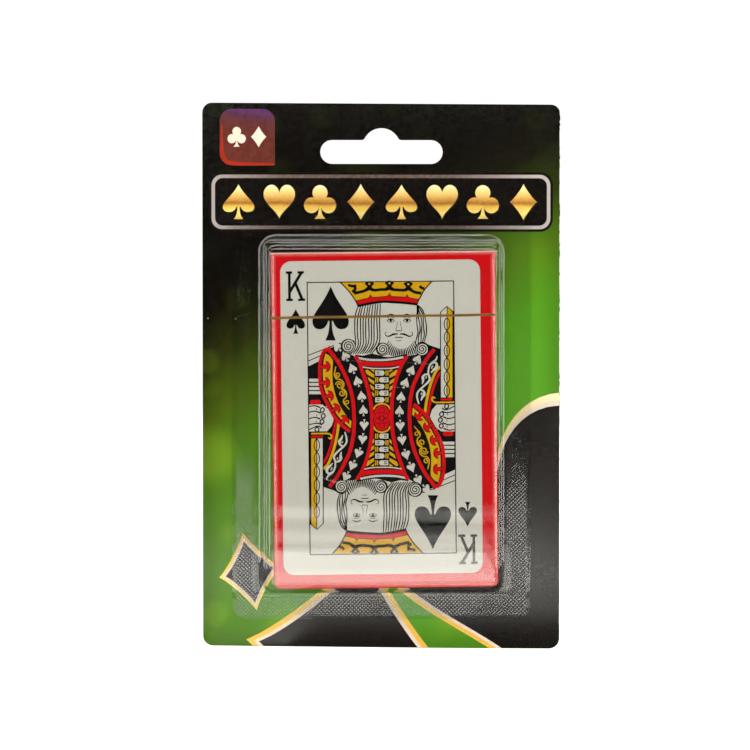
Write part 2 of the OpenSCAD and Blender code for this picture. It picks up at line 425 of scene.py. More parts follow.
# ---------------------------------------------------------------- mesh tools
def bend_card(bm):
    """Cuts a flat mesh of the backing card into small faces where it is out of true, and warps it."""
    bmesh.ops.triangulate(bm, faces=[f for f in bm.faces if len(f.verts) > 4])

    def cut(axis, at, below):
        co, no = [0.0, 0.0, 0.0], [0.0, 0.0, 0.0]
        co[axis], no[axis] = at * MM, 1.0
        some = [f for f in bm.faces if f.calc_center_median().z < below * MM]
        geom = set(some)
        for f in some:
            geom.update(f.verts)
            geom.update(f.edges)
        bmesh.ops.bisect_plane(bm, geom=list(geom), dist=1e-8, plane_co=co, plane_no=no)

    for z in (7.0, 9.0, 11.0, -112.0, -116.0, -120.0, -124.0, -127.0, -129.0, -131.0, -133.0, -135.0):
        cut(2, z, 1000.0)
    for x in (-47.0, -45.0, -43.0, -41.0, -39.0, -32.0, -24.0, -16.0, -8.0, 0.0, 8.0, 16.0, 24.0, 32.0, 40.0):
        cut(0, x, -112.0)
    for v in bm.verts:
        dz, dy = warp(v.co.x / MM, v.co.z / MM)
        v.co.z += dz * MM
        v.co.y -= dy * MM


def make(name, verts, faces, mats, body, index=None, smooth=None, flat=(), fix=True, shape=None):
    me = bpy.data.meshes.new(name)
    me.from_pydata(verts, [], faces)
    for m in mats:
        me.materials.append(m)
    if index is not None:
        me.polygons.foreach_set("material_index", index)
    if fix or shape:
        bm = bmesh.new()
        bm.from_mesh(me)
        if shape:
            shape(bm)
        bmesh.ops.recalc_face_normals(bm, faces=bm.faces)
        bm.to_mesh(me)
        bm.free()
    if smooth is not None:
        me.polygons.foreach_set("use_smooth", [True] * len(me.polygons))
        for i in flat:
            me.polygons[i].use_smooth = False
        me.set_sharp_from_angle(angle=math.radians(smooth))
    me.update()
    ob = bpy.data.objects.new(name, me)
    scene.collection.objects.link(ob)
    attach(ob, body)
    return ob


def flow(pts, n=6, closed=False):
    """A smooth curve through the points."""
    m = len(pts)
    out = []
    for i in range(m if closed else m - 1):
        p0 = pts[i - 1] if (i > 0 or closed) else pts[i]
        p1, p2 = pts[i], pts[(i + 1) % m]
        p3 = pts[(i + 2) % m] if (i + 2 < m or closed) else p2
        for k in range(n):
            t = k / n
            a, b, c, d = (
                -0.5 * t + t * t - 0.5 * t ** 3,
                1 - 2.5 * t * t + 1.5 * t ** 3,
                0.5 * t + 2 * t * t - 1.5 * t ** 3,
                -0.5 * t * t + 0.5 * t ** 3,
            )
            out.append(tuple(a * p0[j] + b * p1[j] + c * p2[j] + d * p3[j] for j in (0, 1)))
    if not closed:
        out.append(tuple(pts[-1]))
    return out


def clip(poly, window):
    """The part of a polygon inside a convex window that runs anticlockwise."""
    out = list(poly)
    for i in range(len(window)):
        ax, ay = window[i]
        bx, by = window[(i + 1) % len(window)]
        side = lambda p: (bx - ax) * (p[1] - ay) - (by - ay) * (p[0] - ax)
        src, out = out, []
        for j, q in enumerate(src):
            p = src[j - 1]
            dp, dq = side(p), side(q)
            if (dp < 0) != (dq < 0):
                t = dp / (dp - dq)
                out.append((p[0] + t * (q[0] - p[0]), p[1] + t * (q[1] - p[1])))
            if dq >= 0:
                out.append(q)
        if not out:
            return []
    return out


class Ink:
    """Collects flat closed shapes of one colour."""

    def __init__(self, place):
        self.place, self.v, self.f, self.k = place, [], [], 0

    def lift(self, h):
        self.k += 1
        return h + 0.0005 * (self.k % 5)

    def poly(self, pts, h1, h0=0.003):
        h1 = self.lift(h1)
        n, b = len(pts), len(self.v)
        self.v += [self.place(u, v, h0) for u, v in pts] + [self.place(u, v, h1) for u, v in pts]
        self.f.append(list(range(b + n - 1, b - 1, -1)))
        self.f.append(list(range(b + n, b + 2 * n)))
        for i in range(n):
            j = (i + 1) % n
            self.f.append([b + i, b + j, b + n + j, b + n + i])

    def line(self, pts, width, h1, closed=False, h0=0.003):
        h1 = self.lift(h1)
        n, b = len(pts), len(self.v)
        wide = width if isinstance(width, (list, tuple)) else [width] * n
        for i, p in enumerate(pts):
            a = pts[i - 1] if (i > 0 or closed) else p
            c = pts[(i + 1) % n] if (i < n - 1 or closed) else p
            tx, ty = c[0] - a[0], c[1] - a[1]
            m = math.hypot(tx, ty) or 1.0
            nx, ny, w = -ty / m, tx / m, wide[i] / 2
            l, r = (p[0] + nx * w, p[1] + ny * w), (p[0] - nx * w, p[1] - ny * w)
            self.v += [self.place(*l, h0), self.place(*r, h0), self.place(*r, h1), self.place(*l, h1)]
        for i in range(n if closed else n - 1):
            a, c = b + 4 * i, b + 4 * ((i + 1) % n)
            for k in range(4):
                self.f.append([a + k, a + (k + 1) % 4, c + (k + 1) % 4, c + k])
        if not closed:
            e = b + 4 * (n - 1)
            self.f.append([b, b + 3, b + 2, b + 1])
            self.f.append([e, e + 1, e + 2, e + 3])

    def make(self, name, mat, body, slot, shape=None):
        return make(name, self.v, self.f, [mat], body, shape=shape)


def ring(cx, cy, rx, ry=None, n=28, turn=0.0):
    ry = rx if ry is None else ry
    c, s = math.cos(turn), math.sin(turn)
    out = []
    for i in range(n):
        a = 2 * math.pi * i / n
        x, y = rx * math.cos(a), ry * math.sin(a)
        out.append((cx + c * x - s * y, cy + s * x + c * y))
    return out


def rounded(cx, cy, w, h, radii, n=10):
    """A rounded rectangle, anticlockwise from the lower left; radii for lower left, lower right, upper right, upper left."""
    out = []
    for (sx, sy, a0), r in zip(((-1, -1, 180), (1, -1, 270), (1, 1, 0), (-1, 1, 90)), radii):
        px, py = cx + sx * (w / 2 - r), cy + sy * (h / 2 - r)
        for i in range(n + 1):
            a = math.radians(a0 + 90 * i / n)
            out.append((px + r * math.cos(a), py + r * math.sin(a)))
    return out


def mirrored(half):
    return half + [(-x, y) for x, y in reversed(half[1:-1])]


def spade():
    """A spade of width 1 and height 1, standing on (0, 0)."""
    side = flow([(0, 1), (0.115, 0.835), (0.25, 0.685), (0.386, 0.546), (0.455, 0.463), (0.498, 0.365), (0.478, 0.28), (0.41, 0.225),
                 (0.29, 0.207), (0.185, 0.228), (0.105, 0.29), (0.07, 0.35), (0.045, 0.365)], 4)
    stem = flow([(0.034, 0.34), (0.045, 0.22), (0.08, 0.1), (0.145, 0.0)], 4)
    half = side + stem
    return half + [(-x, y) for x, y in reversed(half[1:])]


def heart(n=64):
    out = []
    for i in range(n):
        t = 2 * math.pi * i / n
        x = 16 * math.sin(t) ** 3
        y = 13 * math.cos(t) - 5 * math.cos(2 * t) - 2 * math.cos(3 * t) - math.cos(4 * t)
        out.append((x / 32.0, (y + 17.0) / 29.0))
    return out[::-1]


def diamond(n=48, p=0.88):
    out = []
    for i in range(n):
        a = 2 * math.pi * i / n
        c, s = math.cos(a), math.sin(a)
        k = (abs(c) ** p + abs(s) ** p) ** (-1 / p)
        out.append((0.5 * c * k, 0.5 + 0.5 * s * k))
    return out


def club_parts():
    discs = [ring(0, 0.765, 0.235, n=36), ring(-0.265, 0.40, 0.235, n=36), ring(0.265, 0.40, 0.235, n=36), ring(0, 0.5, 0.13, n=20)]
    stem = flow([(-0.17, 0.0), (-0.07, 0.12), (-0.04, 0.3), (-0.035, 0.45)], 4)
    return discs + [stem + [(-x, y) for x, y in reversed(stem)]]


def put(shape, cx, cy, w, h, turn=0.0, grow=1.0, about=0.5):
    """A unit shape placed with its middle at (cx, cy)."""
    c, s = math.cos(turn), math.sin(turn)
    out = []
    for x, y in shape:
        x, y = x * w * grow, (y - about) * h * grow
        out.append((cx + c * x - s * y, cy + s * x + c * y))
    return out


# ---------------------------------------------------------------- the card face on the box
# Drawing units: 3.73 to the millimetre, with the middle of the double-ended figure at (382, 418)
DRAW, ART_TURN = 3.73, math.radians(0.65)
ART_C, ART_S = math.cos(ART_TURN), math.sin(ART_TURN)
FACE_U, FACE_V = -0.80, 0.52

ink = {k: Ink(on_box) for k in ("white", "black", "red", "yellow")}


def level(n):
    return 0.008 + 0.0062 * n


def figure(end):
    def at(x, y):
        dx, dy = (x - 382.0) / DRAW, (418.0 - y) / DRAW
        return (FACE_U + end * (ART_C * dx + ART_S * dy), FACE_V + end * (ART_C * dy - ART_S * dx))

    def fill(color, pts, lv, smooth=False, n=5):
        q = [at(*p) for p in pts]
        ink[color].poly(flow(q, n, True) if smooth else q, level(lv))

    def draw(color, pts, width, lv, smooth=True, n=6, closed=False):
        q = [at(*p) for p in pts]
        q = flow(q, n, closed) if smooth else q
        if isinstance(width, (list, tuple)):
            m = len(q)
            wide = []
            for i in range(m):
                t = i / (m - 1) * (len(width) - 1)
                j = min(int(t), len(width) - 2)
                wide.append((width[j] + (width[j + 1] - width[j]) * (t - j)) / DRAW)
        else:
            wide = width / DRAW
        ink[color].line(q, wide, level(lv), closed)

    def pip(color, cx, cy, w, h, lv, tilt=0.0):
        c, s = math.cos(math.radians(tilt)), math.sin(math.radians(tilt))
        q = []
        for x, y in spade():
            x, y = x * w, (0.5 - y) * h
            q.append(at(cx + c * x - s * y, cy + s * x + c * y))
        ink[color].poly(q, level(lv))

    def curl(cx, cy, r, turns, start, width, lv, color="black", inner=0.9, hand=1):
        n = int(26 * turns)
        pts = []
        for i in range(n + 1):
            t = i / n
            rad = inner + (r - inner) * t
            a = math.radians(start) + hand * 2 * math.pi * turns * t
            pts.append((cx + rad * math.cos(a), cy + rad * math.sin(a)))
        draw(color, pts, width, lv, smooth=False)

    # index and pips: a plain slab-serif rank mark
    draw("black", [(289.3, 272.5), (289.6, 299.8)], 2.7, 1, False)
    draw("black", [(285.8, 272.6), (292.2, 272.5)], 2.4, 2, False)
    draw("black", [(286.3, 299.9), (293.0, 299.8)], 2.4, 2, False)
    draw("black", [(301.2, 273.0), (290.0, 291.6)], 2.9, 1, False)
    draw("black", [(295.4, 283.2), (302.2, 299.4)], 2.9, 2, False)
    draw("black", [(297.5, 272.4), (304.0, 272.3)], 2.4, 2, False)
    draw("black", [(298.1, 299.8), (305.2, 299.7)], 2.4, 2, False)
    pip("black", 295.8, 321.4, 18.6, 24.6, 1)
    pip("black", 330.7, 313.3, 36.6, 54.2, 1)

    # far side sleeve
    draw("black", [(308.6, 355.2), (324.0, 349.2), (340.8, 343.0)], 0.9, 2, False)
    draw("black", [(308.6, 360.9), (321.0, 355.3)], 0.9, 2, False)
    fill("black", [(308.6, 366.2), (321.5, 360.0), (322.0, 374.9), (323.0, 387.3), (326.5, 397.3), (331.0, 406.0), (308.6, 406.0)], 1)
    for y0, y1 in ((378.7, 381.7), (382.9, 385.8), (387.1, 390.0), (391.2, 394.2)):
        fill("white", [(309.2, y0), (323.0, y0), (323.5, y1), (309.2, y1)], 2)
    fill("red", [(311.4, 399.9), (319.4, 399.7), (320.8, 401.2), (320.6, 404.6), (319.2, 405.8), (311.4, 405.9), (310.2, 404.6), (310.2, 401.2)], 2)

    # robe
    fill("black", [(325.0, 351.0), (333.0, 346.8), (340.8, 343.4), (347.0, 338.6), (356.0, 341.0), (382.0, 345.0), (416.0, 342.0), (424.0, 342.2), (430.0, 345.2),
                   (440.7, 348.8), (440.7, 404.6), (436.4, 404.4), (431.8, 409.7), (429.8, 416.2), (432.0, 421.0), (382.0, 421.0), (348.0, 430.0),
                   (341.0, 425.0), (334.0, 416.0), (328.9, 406.2), (324.4, 397.3), (320.9, 387.3), (319.9, 374.9), (320.4, 362.4)], 1)

    bands = {
        "li": [(355.4, 356.2), (359.5, 362.6), (362.2, 370.9), (365.7, 380.8), (368.9, 392.3), (371.2, 404.7), (372.3, 418.3)],
        "lo": [(327.2, 347.6), (333.9, 356.0), (338.8, 362.9), (343.8, 372.4), (348.3, 382.3), (351.8, 393.8), (353.5, 404.7), (354.2, 418.3)],
        "ri": [(407.2, 356.2), (402.9, 362.4), (398.4, 372.9), (395.4, 382.3), (392.9, 394.8), (391.9, 406.0), (391.7, 418.3)],
        "ro": [(434.3, 349.2), (427.8, 357.5), (422.8, 365.9), (417.8, 375.9), (413.8, 384.8), (411.4, 394.8), (409.9, 407.2), (409.6, 418.3)],
    }
    for name, pts in bands.items():
        draw("black", pts, 5.2, 2)
        draw("red", pts, 3.7, 5 if name in ("lo", "li") else 4)

    # white spades down both stoles
    for cx, cy, tilt in ((337.2, 346.6, -42), (345.3, 355.9, -26), (352.3, 368.4, -22), (357.7, 381.3, -16), (361.7, 396.2, -7), (363.5, 410.4, -2),
                         (417.8, 359.2, 27), (411.4, 370.4, 24), (405.4, 382.9, 20), (401.2, 397.0, 5), (399.7, 410.9, 2)):
        pip("white", cx, cy, 8.8, 11.4, 3, tilt)

    # middle panel: stripes, ladder and medallion
    fill("black", [(362.5, 367.0), (402.0, 367.0), (396.0, 384.0), (393.0, 400.0), (392.0, 418.0), (372.0, 418.0), (371.0, 400.0), (367.5, 384.0)], 2)
    for pts in (
        [(365.2, 370.4), (367.6, 369.6), (374.3, 374.6), (374.3, 378.0), (367.2, 374.4)],
        [(367.8, 377.0), (374.3, 381.2), (374.3, 384.6), (369.2, 381.2)],
        [(370.0, 384.2), (374.3, 387.4), (374.3, 391.0), (371.2, 388.4)],
        [(371.8, 391.6), (374.3, 393.6), (374.3, 397.2), (372.6, 395.4)],
        [(370.6, 369.6), (374.3, 369.6), (374.3, 372.4)],
        [(398.6, 370.4), (396.4, 369.6), (389.7, 374.6), (389.7, 378.0), (396.8, 374.4)],
        [(396.0, 377.0), (389.7, 381.2), (389.7, 384.6), (394.6, 381.2)],
        [(393.9, 384.2), (389.7, 387.4), (389.7, 391.0), (392.7, 388.4)],
        [(392.2, 391.6), (389.7, 393.6), (389.7, 397.2), (391.4, 395.4)],
        [(393.4, 369.6), (389.7, 369.6), (389.7, 372.4)],
    ):
        fill("yellow", pts, 3)
    for k, y in enumerate((373.0, 379.8, 386.5, 393.1, 399.8)):
        m = 1 if k % 2 == 0 else -1
        X = lambda d: 382.0 + m * d
        h = 2.5
        fill("white", [(X(-6.8), y - h), (X(1.2), y - h), (X(2.4), y - 1.3), (X(2.7), y), (X(2.4), y + 1.3), (X(1.2), y + h), (X(-6.8), y + h)], 3)
        for d in (-1.0, 0.9):
            draw("black", [(X(-5.4), y + d), (X(-2.2), y + d)], 0.9, 4, False)
        draw("black", [(X(-6.9), y - h), (X(-6.9), y + h)], 0.7, 4, False)
        fill("yellow", [(X(3.6), y - h), (X(6.7), y - h), (X(6.7), y + h), (X(3.6), y + h)], 3)
        draw("black", [(X(5.1), y - h), (X(5.1), y + h)], 0.7, 4, False)
    draw("yellow", [(373.6, 409.6), (376.2, 405.6), (382.0, 403.6), (387.8, 405.6), (390.4, 409.6)], 1.7, 4)

    # hair, head and beard ground
    fill("white", [(357.0, 304.6), (354.4, 318.0), (354.0, 333.0), (354.8, 343.0), (351.2, 350.6), (350.2, 354.0), (355.0, 356.4), (364.0, 355.4), (372.0, 353.4),
                   (377.0, 354.6), (384.0, 356.6), (392.0, 357.4), (400.0, 357.2), (408.0, 356.2), (416.0, 354.6), (424.0, 346.0), (426.6, 340.0), (427.2, 328.0),
                   (425.0, 315.0), (420.0, 307.0), (417.4, 303.2), (382.0, 300.6)], 3)

    # crown
    fill("yellow", [(339.6, 281.7), (348.3, 290.4), (352.8, 296.4), (356.2, 301.9), (358.0, 305.9), (370.0, 303.2), (382.0, 301.4), (392.0, 301.6), (405.9, 302.6),
                    (416.8, 303.9), (418.8, 299.9), (420.8, 296.4), (424.3, 289.9), (431.6, 281.7)], 4)
    fill("red", [(357.8, 305.4), (370.0, 302.8), (382.0, 301.1), (392.0, 301.4), (405.9, 302.4), (416.6, 303.6), (418.4, 299.4), (410.6, 297.9), (408.6, 297.2),
                 (407.2, 294.2), (405.6, 297.0), (403.0, 296.9), (391.8, 296.4), (390.9, 295.6), (389.4, 293.0), (387.9, 295.8), (386.0, 296.3), (373.0, 297.4),
                 (371.8, 296.8), (370.5, 294.2), (369.2, 297.4), (367.6, 298.2), (355.6, 300.8)], 5)
    draw("black", [(355.6, 300.8), (367.6, 298.2), (369.2, 297.4), (370.5, 294.2), (371.8, 296.8), (373.0, 297.4), (386.0, 296.3), (387.9, 295.8), (389.4, 293.0), (390.9, 295.6),
                   (391.8, 296.4), (403.0, 296.9), (405.6, 297.0), (407.2, 294.2), (408.6, 297.2), (410.6, 297.9), (418.4, 299.4)], 0.75, 6, False)
    draw("black", [(357.4, 306.0), (370.0, 303.4), (382.0, 301.7), (392.0, 301.9), (405.9, 302.9), (417.2, 304.2)], 2.5, 6)
    draw("black", [(339.8, 281.6), (348.3, 290.4), (352.8, 296.4), (356.2, 301.9), (358.0, 306.0)], 1.2, 6)
    draw("black", [(431.6, 281.6), (424.3, 289.9), (420.8, 296.4), (418.8, 299.9), (417.2, 304.2)], 1.2, 6)
    draw("black", [(354.2, 293.4), (358.0, 292.4), (363.0, 291.2), (367.0, 289.6), (369.4, 288.6), (372.4, 289.8), (376.0, 290.0), (382.0, 289.4), (386.6, 289.3), (389.5, 288.2),
                   (392.4, 289.4), (400.9, 290.0), (405.4, 289.8), (408.4, 288.9), (411.4, 290.2), (415.4, 292.2), (421.4, 293.0)], 2.9, 6)
    for cx, cy in ((369.4, 284.4), (389.5, 283.8), (408.4, 284.6)):
        draw("black", [(cx - 4.0, cy - 1.6), (cx - 1.6, cy + 0.6), (cx + 0.4, cy + 2.6), (cx + 3.6, cy + 5.2)], 2.5, 6)
        draw("black", [(cx + 4.0, cy - 1.6), (cx + 1.6, cy + 0.6), (cx - 0.4, cy + 2.6), (cx - 3.6, cy + 5.2)], 2.5, 6)
        fill("black", ring(cx, cy - 0.2, 3.2, n=18), 6)
        fill("yellow", ring(cx, cy - 0.6, 1.1, n=14), 7)
    draw("black", [(348.2, 284.6), (351.4, 286.0), (356.4, 285.6)], 2.6, 6)
    draw("black", [(354.2, 286.2), (355.4, 289.0), (353.2, 291.2), (357.2, 292.6)], 2.7, 6)
    draw("black", [(419.8, 285.6), (421.4, 287.6), (424.4, 288.6)], 2.8, 6)

    # hair
    left = [(358.4, 306.0), (356.2, 312.0), (355.0, 319.0), (354.9, 332.7), (355.8, 342.7), (354.0, 349.0), (350.8, 354.0)]
    right = [(380.4, 303.4), (380.0, 312.0), (379.6, 322.8), (380.0, 337.7), (378.6, 344.0), (375.0, 349.6), (371.6, 353.4)]
    for i in range(10):
        t = i / 9
        wob = 0.35 * math.sin(i * 2.1)
        pts = [(a[0] + (b[0] - a[0]) * t + wob * math.sin(k * 1.7), a[1] + (b[1] - a[1]) * t) for k, (a, b) in enumerate(zip(left, right))]
        draw("black", pts, [0.9, 1.15, 1.2, 1.1, 1.2, 0.9], 4)
    near = [(417.0, 304.6), (416.8, 311.0), (417.2, 318.0), (417.4, 325.0), (417.6, 332.0), (416.8, 338.0), (416.2, 343.0), (416.4, 347.0)]
    edge = [(417.2, 304.6), (421.8, 308.6), (424.2, 313.8), (425.6, 320.0), (426.6, 327.0), (426.4, 334.0), (425.0, 339.5), (423.6, 343.0)]
    for i in range(5):
        t = i / 4
        wave = 0.0 if i == 4 else 0.55
        pts = [(a[0] + (b[0] - a[0]) * t + wave * math.sin(k * 1.9 + i * 1.3), a[1] + (b[1] - a[1]) * t) for k, (a, b) in enumerate(zip(near, edge))]
        draw("black", pts, [0.9, 1.25, 1.0, 1.3, 1.0, 0.9], 4)
    for cx, cy, r, turn, start in ((348.3, 346.2, 7.0, 2.6, 40, ), (382.7, 349.2, 6.2, 2.3, 150), (422.3, 348.8, 6.6, 2.5, 200)):
        fill("white", ring(cx, cy, r, n=30), 5)
        curl(cx, cy, r - 0.3, turn, start, 1.1, 6, inner=0.7)
        draw("black", ring(cx, cy, r, n=34), 1.0, 6, smooth=False, closed=True)
    # beard
    for i in range(19):
        t = -1 + 2 * i / 18
        x0, y0 = 401.6 + 12.2 * t, 348.8 - 8.0 * t * t
        x1, y1 = 401.2 + 18.4 * t, 357.4 - 5.4 * t * t
        draw("black", [(x0, y0), ((x0 + x1) / 2 + 0.5 * t, (y0 + y1) / 2), (x1, y1)], [0.6, 1.35, 1.1], 4)
    # a plain face
    fx, fy = 399.0, 320.6
    for m in (-1, 1):
        e = fx + m * 8.2
        draw("black", [(e - m * 4.6, fy - 4.8), (e - m * 0.4, fy - 6.5), (e + m * 4.8, fy - 5.0)], [0.6, 1.1, 0.5], 4)
        draw("black", [(e - 3.9, fy + 0.2), (e - 1.6, fy - 1.6), (e + 1.6, fy - 1.6), (e + 3.9, fy + 0.2)], [0.6, 1.0, 1.0, 0.6], 4)
        draw("black", [(e - 3.6, fy + 0.4), (e, fy + 1.7), (e + 3.6, fy + 0.4)], 0.55, 4)
        draw("black", [(e - 3.4, fy - 2.7), (e, fy - 3.7), (e + 3.4, fy - 2.7)], 0.45, 4)
        fill("black", ring(e, fy - 0.2, 1.35, n=16), 4)
        # moustache
        draw("black", [(fx + m * 1.0, fy + 13.2), (fx + m * 5.6, fy + 13.6), (fx + m * 10.2, fy + 15.6), (fx + m * 13.4, fy + 14.4), (fx + m * 13.6, fy + 11.8), (fx + m * 11.6, fy + 11.2)],
             [1.0, 1.9, 1.3, 0.8, 0.6, 0.4], 4)
        draw("black", [(fx + m * 1.6, fy + 0.6), (fx + m * 1.9, fy + 5.0), (fx + m * 3.0, fy + 8.6)], [0.35, 0.5, 0.6], 4)
    draw("black", [(fx - 3.2, fy + 9.0), (fx - 1.6, fy + 10.2), (fx, fy + 9.8), (fx + 1.6, fy + 10.2), (fx + 3.2, fy + 9.0)], 0.7, 4)
    draw("black", [(fx - 4.0, fy + 17.0), (fx - 1.4, fy + 16.5), (fx, fy + 16.9), (fx + 1.4, fy + 16.5), (fx + 4.0, fy + 17.0)], 0.9, 4)
    draw("black", [(fx - 2.4, fy + 19.6), (fx, fy + 20.3), (fx + 2.4, fy + 19.6)], 0.6, 4)

    # collar
    draw("black", [(355.0, 356.6), (368.0, 358.6), (382.0, 359.6), (396.0, 358.4), (407.0, 356.0)], 4.4, 4)
    draw("white", [(358.0, 357.8), (368.0, 359.6), (382.0, 360.0), (394.0, 358.9), (403.4, 357.0)], 2.1, 5)
    draw("black", [(358.6, 362.8), (368.0, 364.4), (382.0, 364.8), (394.0, 364.0), (403.4, 362.0)], 6.4, 4)
    draw("red", [(358.4, 362.4), (368.0, 363.9), (382.0, 364.3), (394.0, 363.5), (403.6, 361.6)], 4.4, 5)
    draw("white", [(362.4, 366.9), (372.0, 368.3), (382.0, 368.5), (392.0, 368.1), (399.2, 366.6)], 1.2, 6)
    for name in ("li", "ri"):
        draw("red", bands[name][:4], 3.7, 6)

    # near sleeve on the far side of the hand: vine and stripes
    draw("white", [(437.3, 356.0), (436.2, 359.4), (431.4, 363.4), (429.2, 367.4), (428.5, 373.4), (429.9, 379.2), (426.6, 383.8), (421.2, 388.6), (417.8, 392.6), (417.3, 397.4), (419.1, 404.0)],
         [1.2, 1.7, 1.9, 1.7, 1.7, 2.1, 1.9, 1.8, 1.8, 1.8, 1.3], 3)
    for pts in (
        [(430.6, 364.6), (434.6, 362.2), (437.0, 364.2), (436.4, 367.6), (433.8, 369.8), (431.2, 372.8)],
        [(428.6, 374.2), (425.2, 374.6), (423.0, 377.2), (423.4, 380.2), (422.4, 384.0)],
        [(420.6, 389.6), (423.6, 391.0), (424.6, 394.2), (422.6, 397.2), (421.2, 400.8)],
    ):
        draw("white", pts, [1.2, 1.9, 2.4, 2.9, 2.1, 0.7], 3)
    for pts in ([(433.6, 366.0), (432.4, 366.4), (431.8, 368.6)], [(425.6, 378.2), (426.6, 377.6), (426.4, 376.2)], [(421.0, 394.6), (421.8, 393.2), (422.6, 393.8)]):
        draw("white", pts, 1.0, 3)
    draw("yellow", [(440.5, 366.8), (435.2, 373.0), (430.0, 387.0), (427.0, 400.0), (425.2, 412.4)], 2.7, 3)
    draw("red", [(440.7, 372.4), (437.2, 378.2), (432.6, 391.0), (430.4, 402.2), (428.0, 414.6)], 2.5, 3)

    # sleeve with the key border, over the other half's robe
    border = [(327.0, 348.4), (323.0, 353.4), (320.4, 362.4), (319.9, 374.9), (320.9, 387.3), (324.4, 397.3), (328.9, 406.2), (334.4, 416.2), (341.8, 424.8), (350.2, 431.6)]
    inner = [(328.2, 351.4), (333.6, 359.0), (338.8, 367.2), (343.2, 376.0), (346.8, 385.0), (349.9, 395.4), (351.4, 406.0), (352.0, 418.0), (351.6, 431.0)]
    fill("black", flow(border, 4) + flow(inner[::-1], 4), 4)
    fill("yellow", flow([(325.4, 353.4), (323.4, 362.6), (323.0, 374.8), (324.0, 386.4), (327.2, 396.0), (331.6, 404.6), (337.0, 414.4), (344.0, 422.4), (351.0, 428.4)], 4)
         + flow([(351.6, 421.6), (347.6, 416.8), (342.2, 409.4), (336.8, 398.6), (333.6, 387.0), (332.4, 374.6), (333.0, 362.0), (331.2, 357.6), (328.6, 355.0)], 4), 5)
    draw("red", border, 3.7, 6)
    border_line = flow(border, 8)
    for hx, hy in ((326.6, 366.6), (326.2, 382.6), (329.8, 395.6), (336.4, 408.4), (345.0, 419.6)):
        qx, qy = min(border_line, key=lambda p: (p[0] - hx) ** 2 + (p[1] - hy) ** 2)
        m = math.hypot(hx - qx, hy - qy)
        nx, ny = (hx - qx) / m, (hy - qy) / m
        tx, ty = -ny, nx

        def cap(grow):
            pts = []
            for i in range(15):
                a = math.radians(-90 + 180 * i / 14)
                pts.append((hx - nx * 0.7 + nx * math.cos(a) * (4.0 + grow) + tx * math.sin(a) * (4.8 + grow),
                            hy - ny * 0.7 + ny * math.cos(a) * (4.0 + grow) + ty * math.sin(a) * (4.8 + grow)))
            return pts

        fill("black", cap(0.85), 6)
        draw("black", [(qx, qy), (hx, hy)], 4.4, 6, False)
        fill("red", cap(0.0), 7)
        draw("red", [(qx, qy), (hx, hy)], 2.8, 7, False)
    draw("black", [(325.2, 351.8), (323.6, 356.0), (322.4, 362.6), (321.9, 374.8), (322.9, 386.8), (326.2, 396.4), (330.6, 405.2), (336.1, 415.2), (343.2, 423.6), (350.8, 429.8)], 0.8, 6)
    # scroll on the dark crescent
    draw("yellow", [(335.9, 366.4), (334.9, 371.0), (334.5, 375.0), (336.6, 378.9), (340.6, 379.6), (343.6, 382.6), (343.7, 386.6), (341.3, 389.0), (343.9, 389.4), (346.3, 392.6),
                    (346.3, 397.0), (343.9, 399.6), (343.7, 402.4), (345.8, 405.4), (349.6, 409.6)], [0.8, 1.2, 1.3, 1.2, 1.2, 1.3, 1.2, 1.1, 1.2, 1.3, 1.2, 1.2, 1.2, 1.1, 0.7], 6)
    curl(337.4, 374.8, 2.9, 1.3, 70, 1.1, 6, "yellow", 0.9, 1)
    curl(339.4, 385.2, 3.9, 1.5, 10, 1.1, 6, "yellow", 0.9, -1)
    curl(341.9, 393.2, 3.4, 1.4, 60, 1.1, 6, "yellow", 0.9, -1)
    curl(347.0, 401.9, 2.5, 1.1, 160, 1.0, 6, "yellow", 0.9, 1)

    # sword, guard and hand
    fill("white", [(440.7, 312.3), (446.9, 306.3), (452.6, 311.4), (453.0, 397.8), (440.9, 397.8)], 2)
    fill("yellow", [(447.2, 306.8), (452.5, 311.6), (452.8, 397.6), (447.2, 397.6)], 3)
    draw("black", [(440.8, 397.8), (440.6, 312.3), (446.9, 306.1), (453.0, 311.5)], 1.0, 4, False)
    draw("black", [(453.6, 311.0), (453.8, 404.0)], 2.2, 4, False)
    draw("black", [(447.2, 307.0), (447.2, 318.4)], 0.9, 4, False)
    for y in (324.0, 337.3, 350.6, 364.0, 377.3, 390.6):
        draw("black", ring(447.1, y, 2.7, 5.7, 26), 0.95, 4, smooth=False, closed=True)
        draw("black", [(447.3, y - 5.4), (447.1, y), (447.3, y + 5.4)], [0.6, 1.0, 0.6], 4)
        draw("black", [(447.1, y + 5.4), (447.1, y + 8.0)], 1.7, 4, False)
    fill("black", [(432.0, 397.4), (454.8, 397.4), (454.8, 404.4), (436.0, 404.6), (432.0, 402.0)], 3)
    fill("red", [(441.0, 398.4), (454.6, 398.2), (454.6, 400.3), (441.0, 400.5)], 4)
    draw("yellow", [(454.8, 402.2), (444.0, 402.4), (436.4, 402.4), (433.2, 401.2), (432.4, 398.8), (433.8, 397.2), (435.6, 398.4)], [1.6, 1.6, 1.6, 1.7, 1.7, 1.5, 1.2], 4)
    hand = [(436.3, 404.6), (431.8, 409.7), (429.8, 416.2), (431.8, 421.6), (436.2, 428.0), (441.0, 431.4), (454.9, 431.4), (454.9, 404.4)]
    fill("white", hand, 5)
    draw("black", hand[:6], 0.9, 6, False)
    for pts in (
        [(442.4, 408.2), (446.6, 409.8), (454.8, 406.2)],
        [(442.0, 411.2), (447.0, 412.6), (454.8, 411.4)],
        [(443.6, 417.0), (449.0, 418.6), (454.8, 417.2)],
        [(443.0, 422.8), (449.0, 424.8), (454.8, 423.6)],
        [(443.8, 428.4), (449.0, 430.2), (454.8, 429.6)],
    ):
        draw("black", pts, [1.5, 1.2, 1.0], 6)
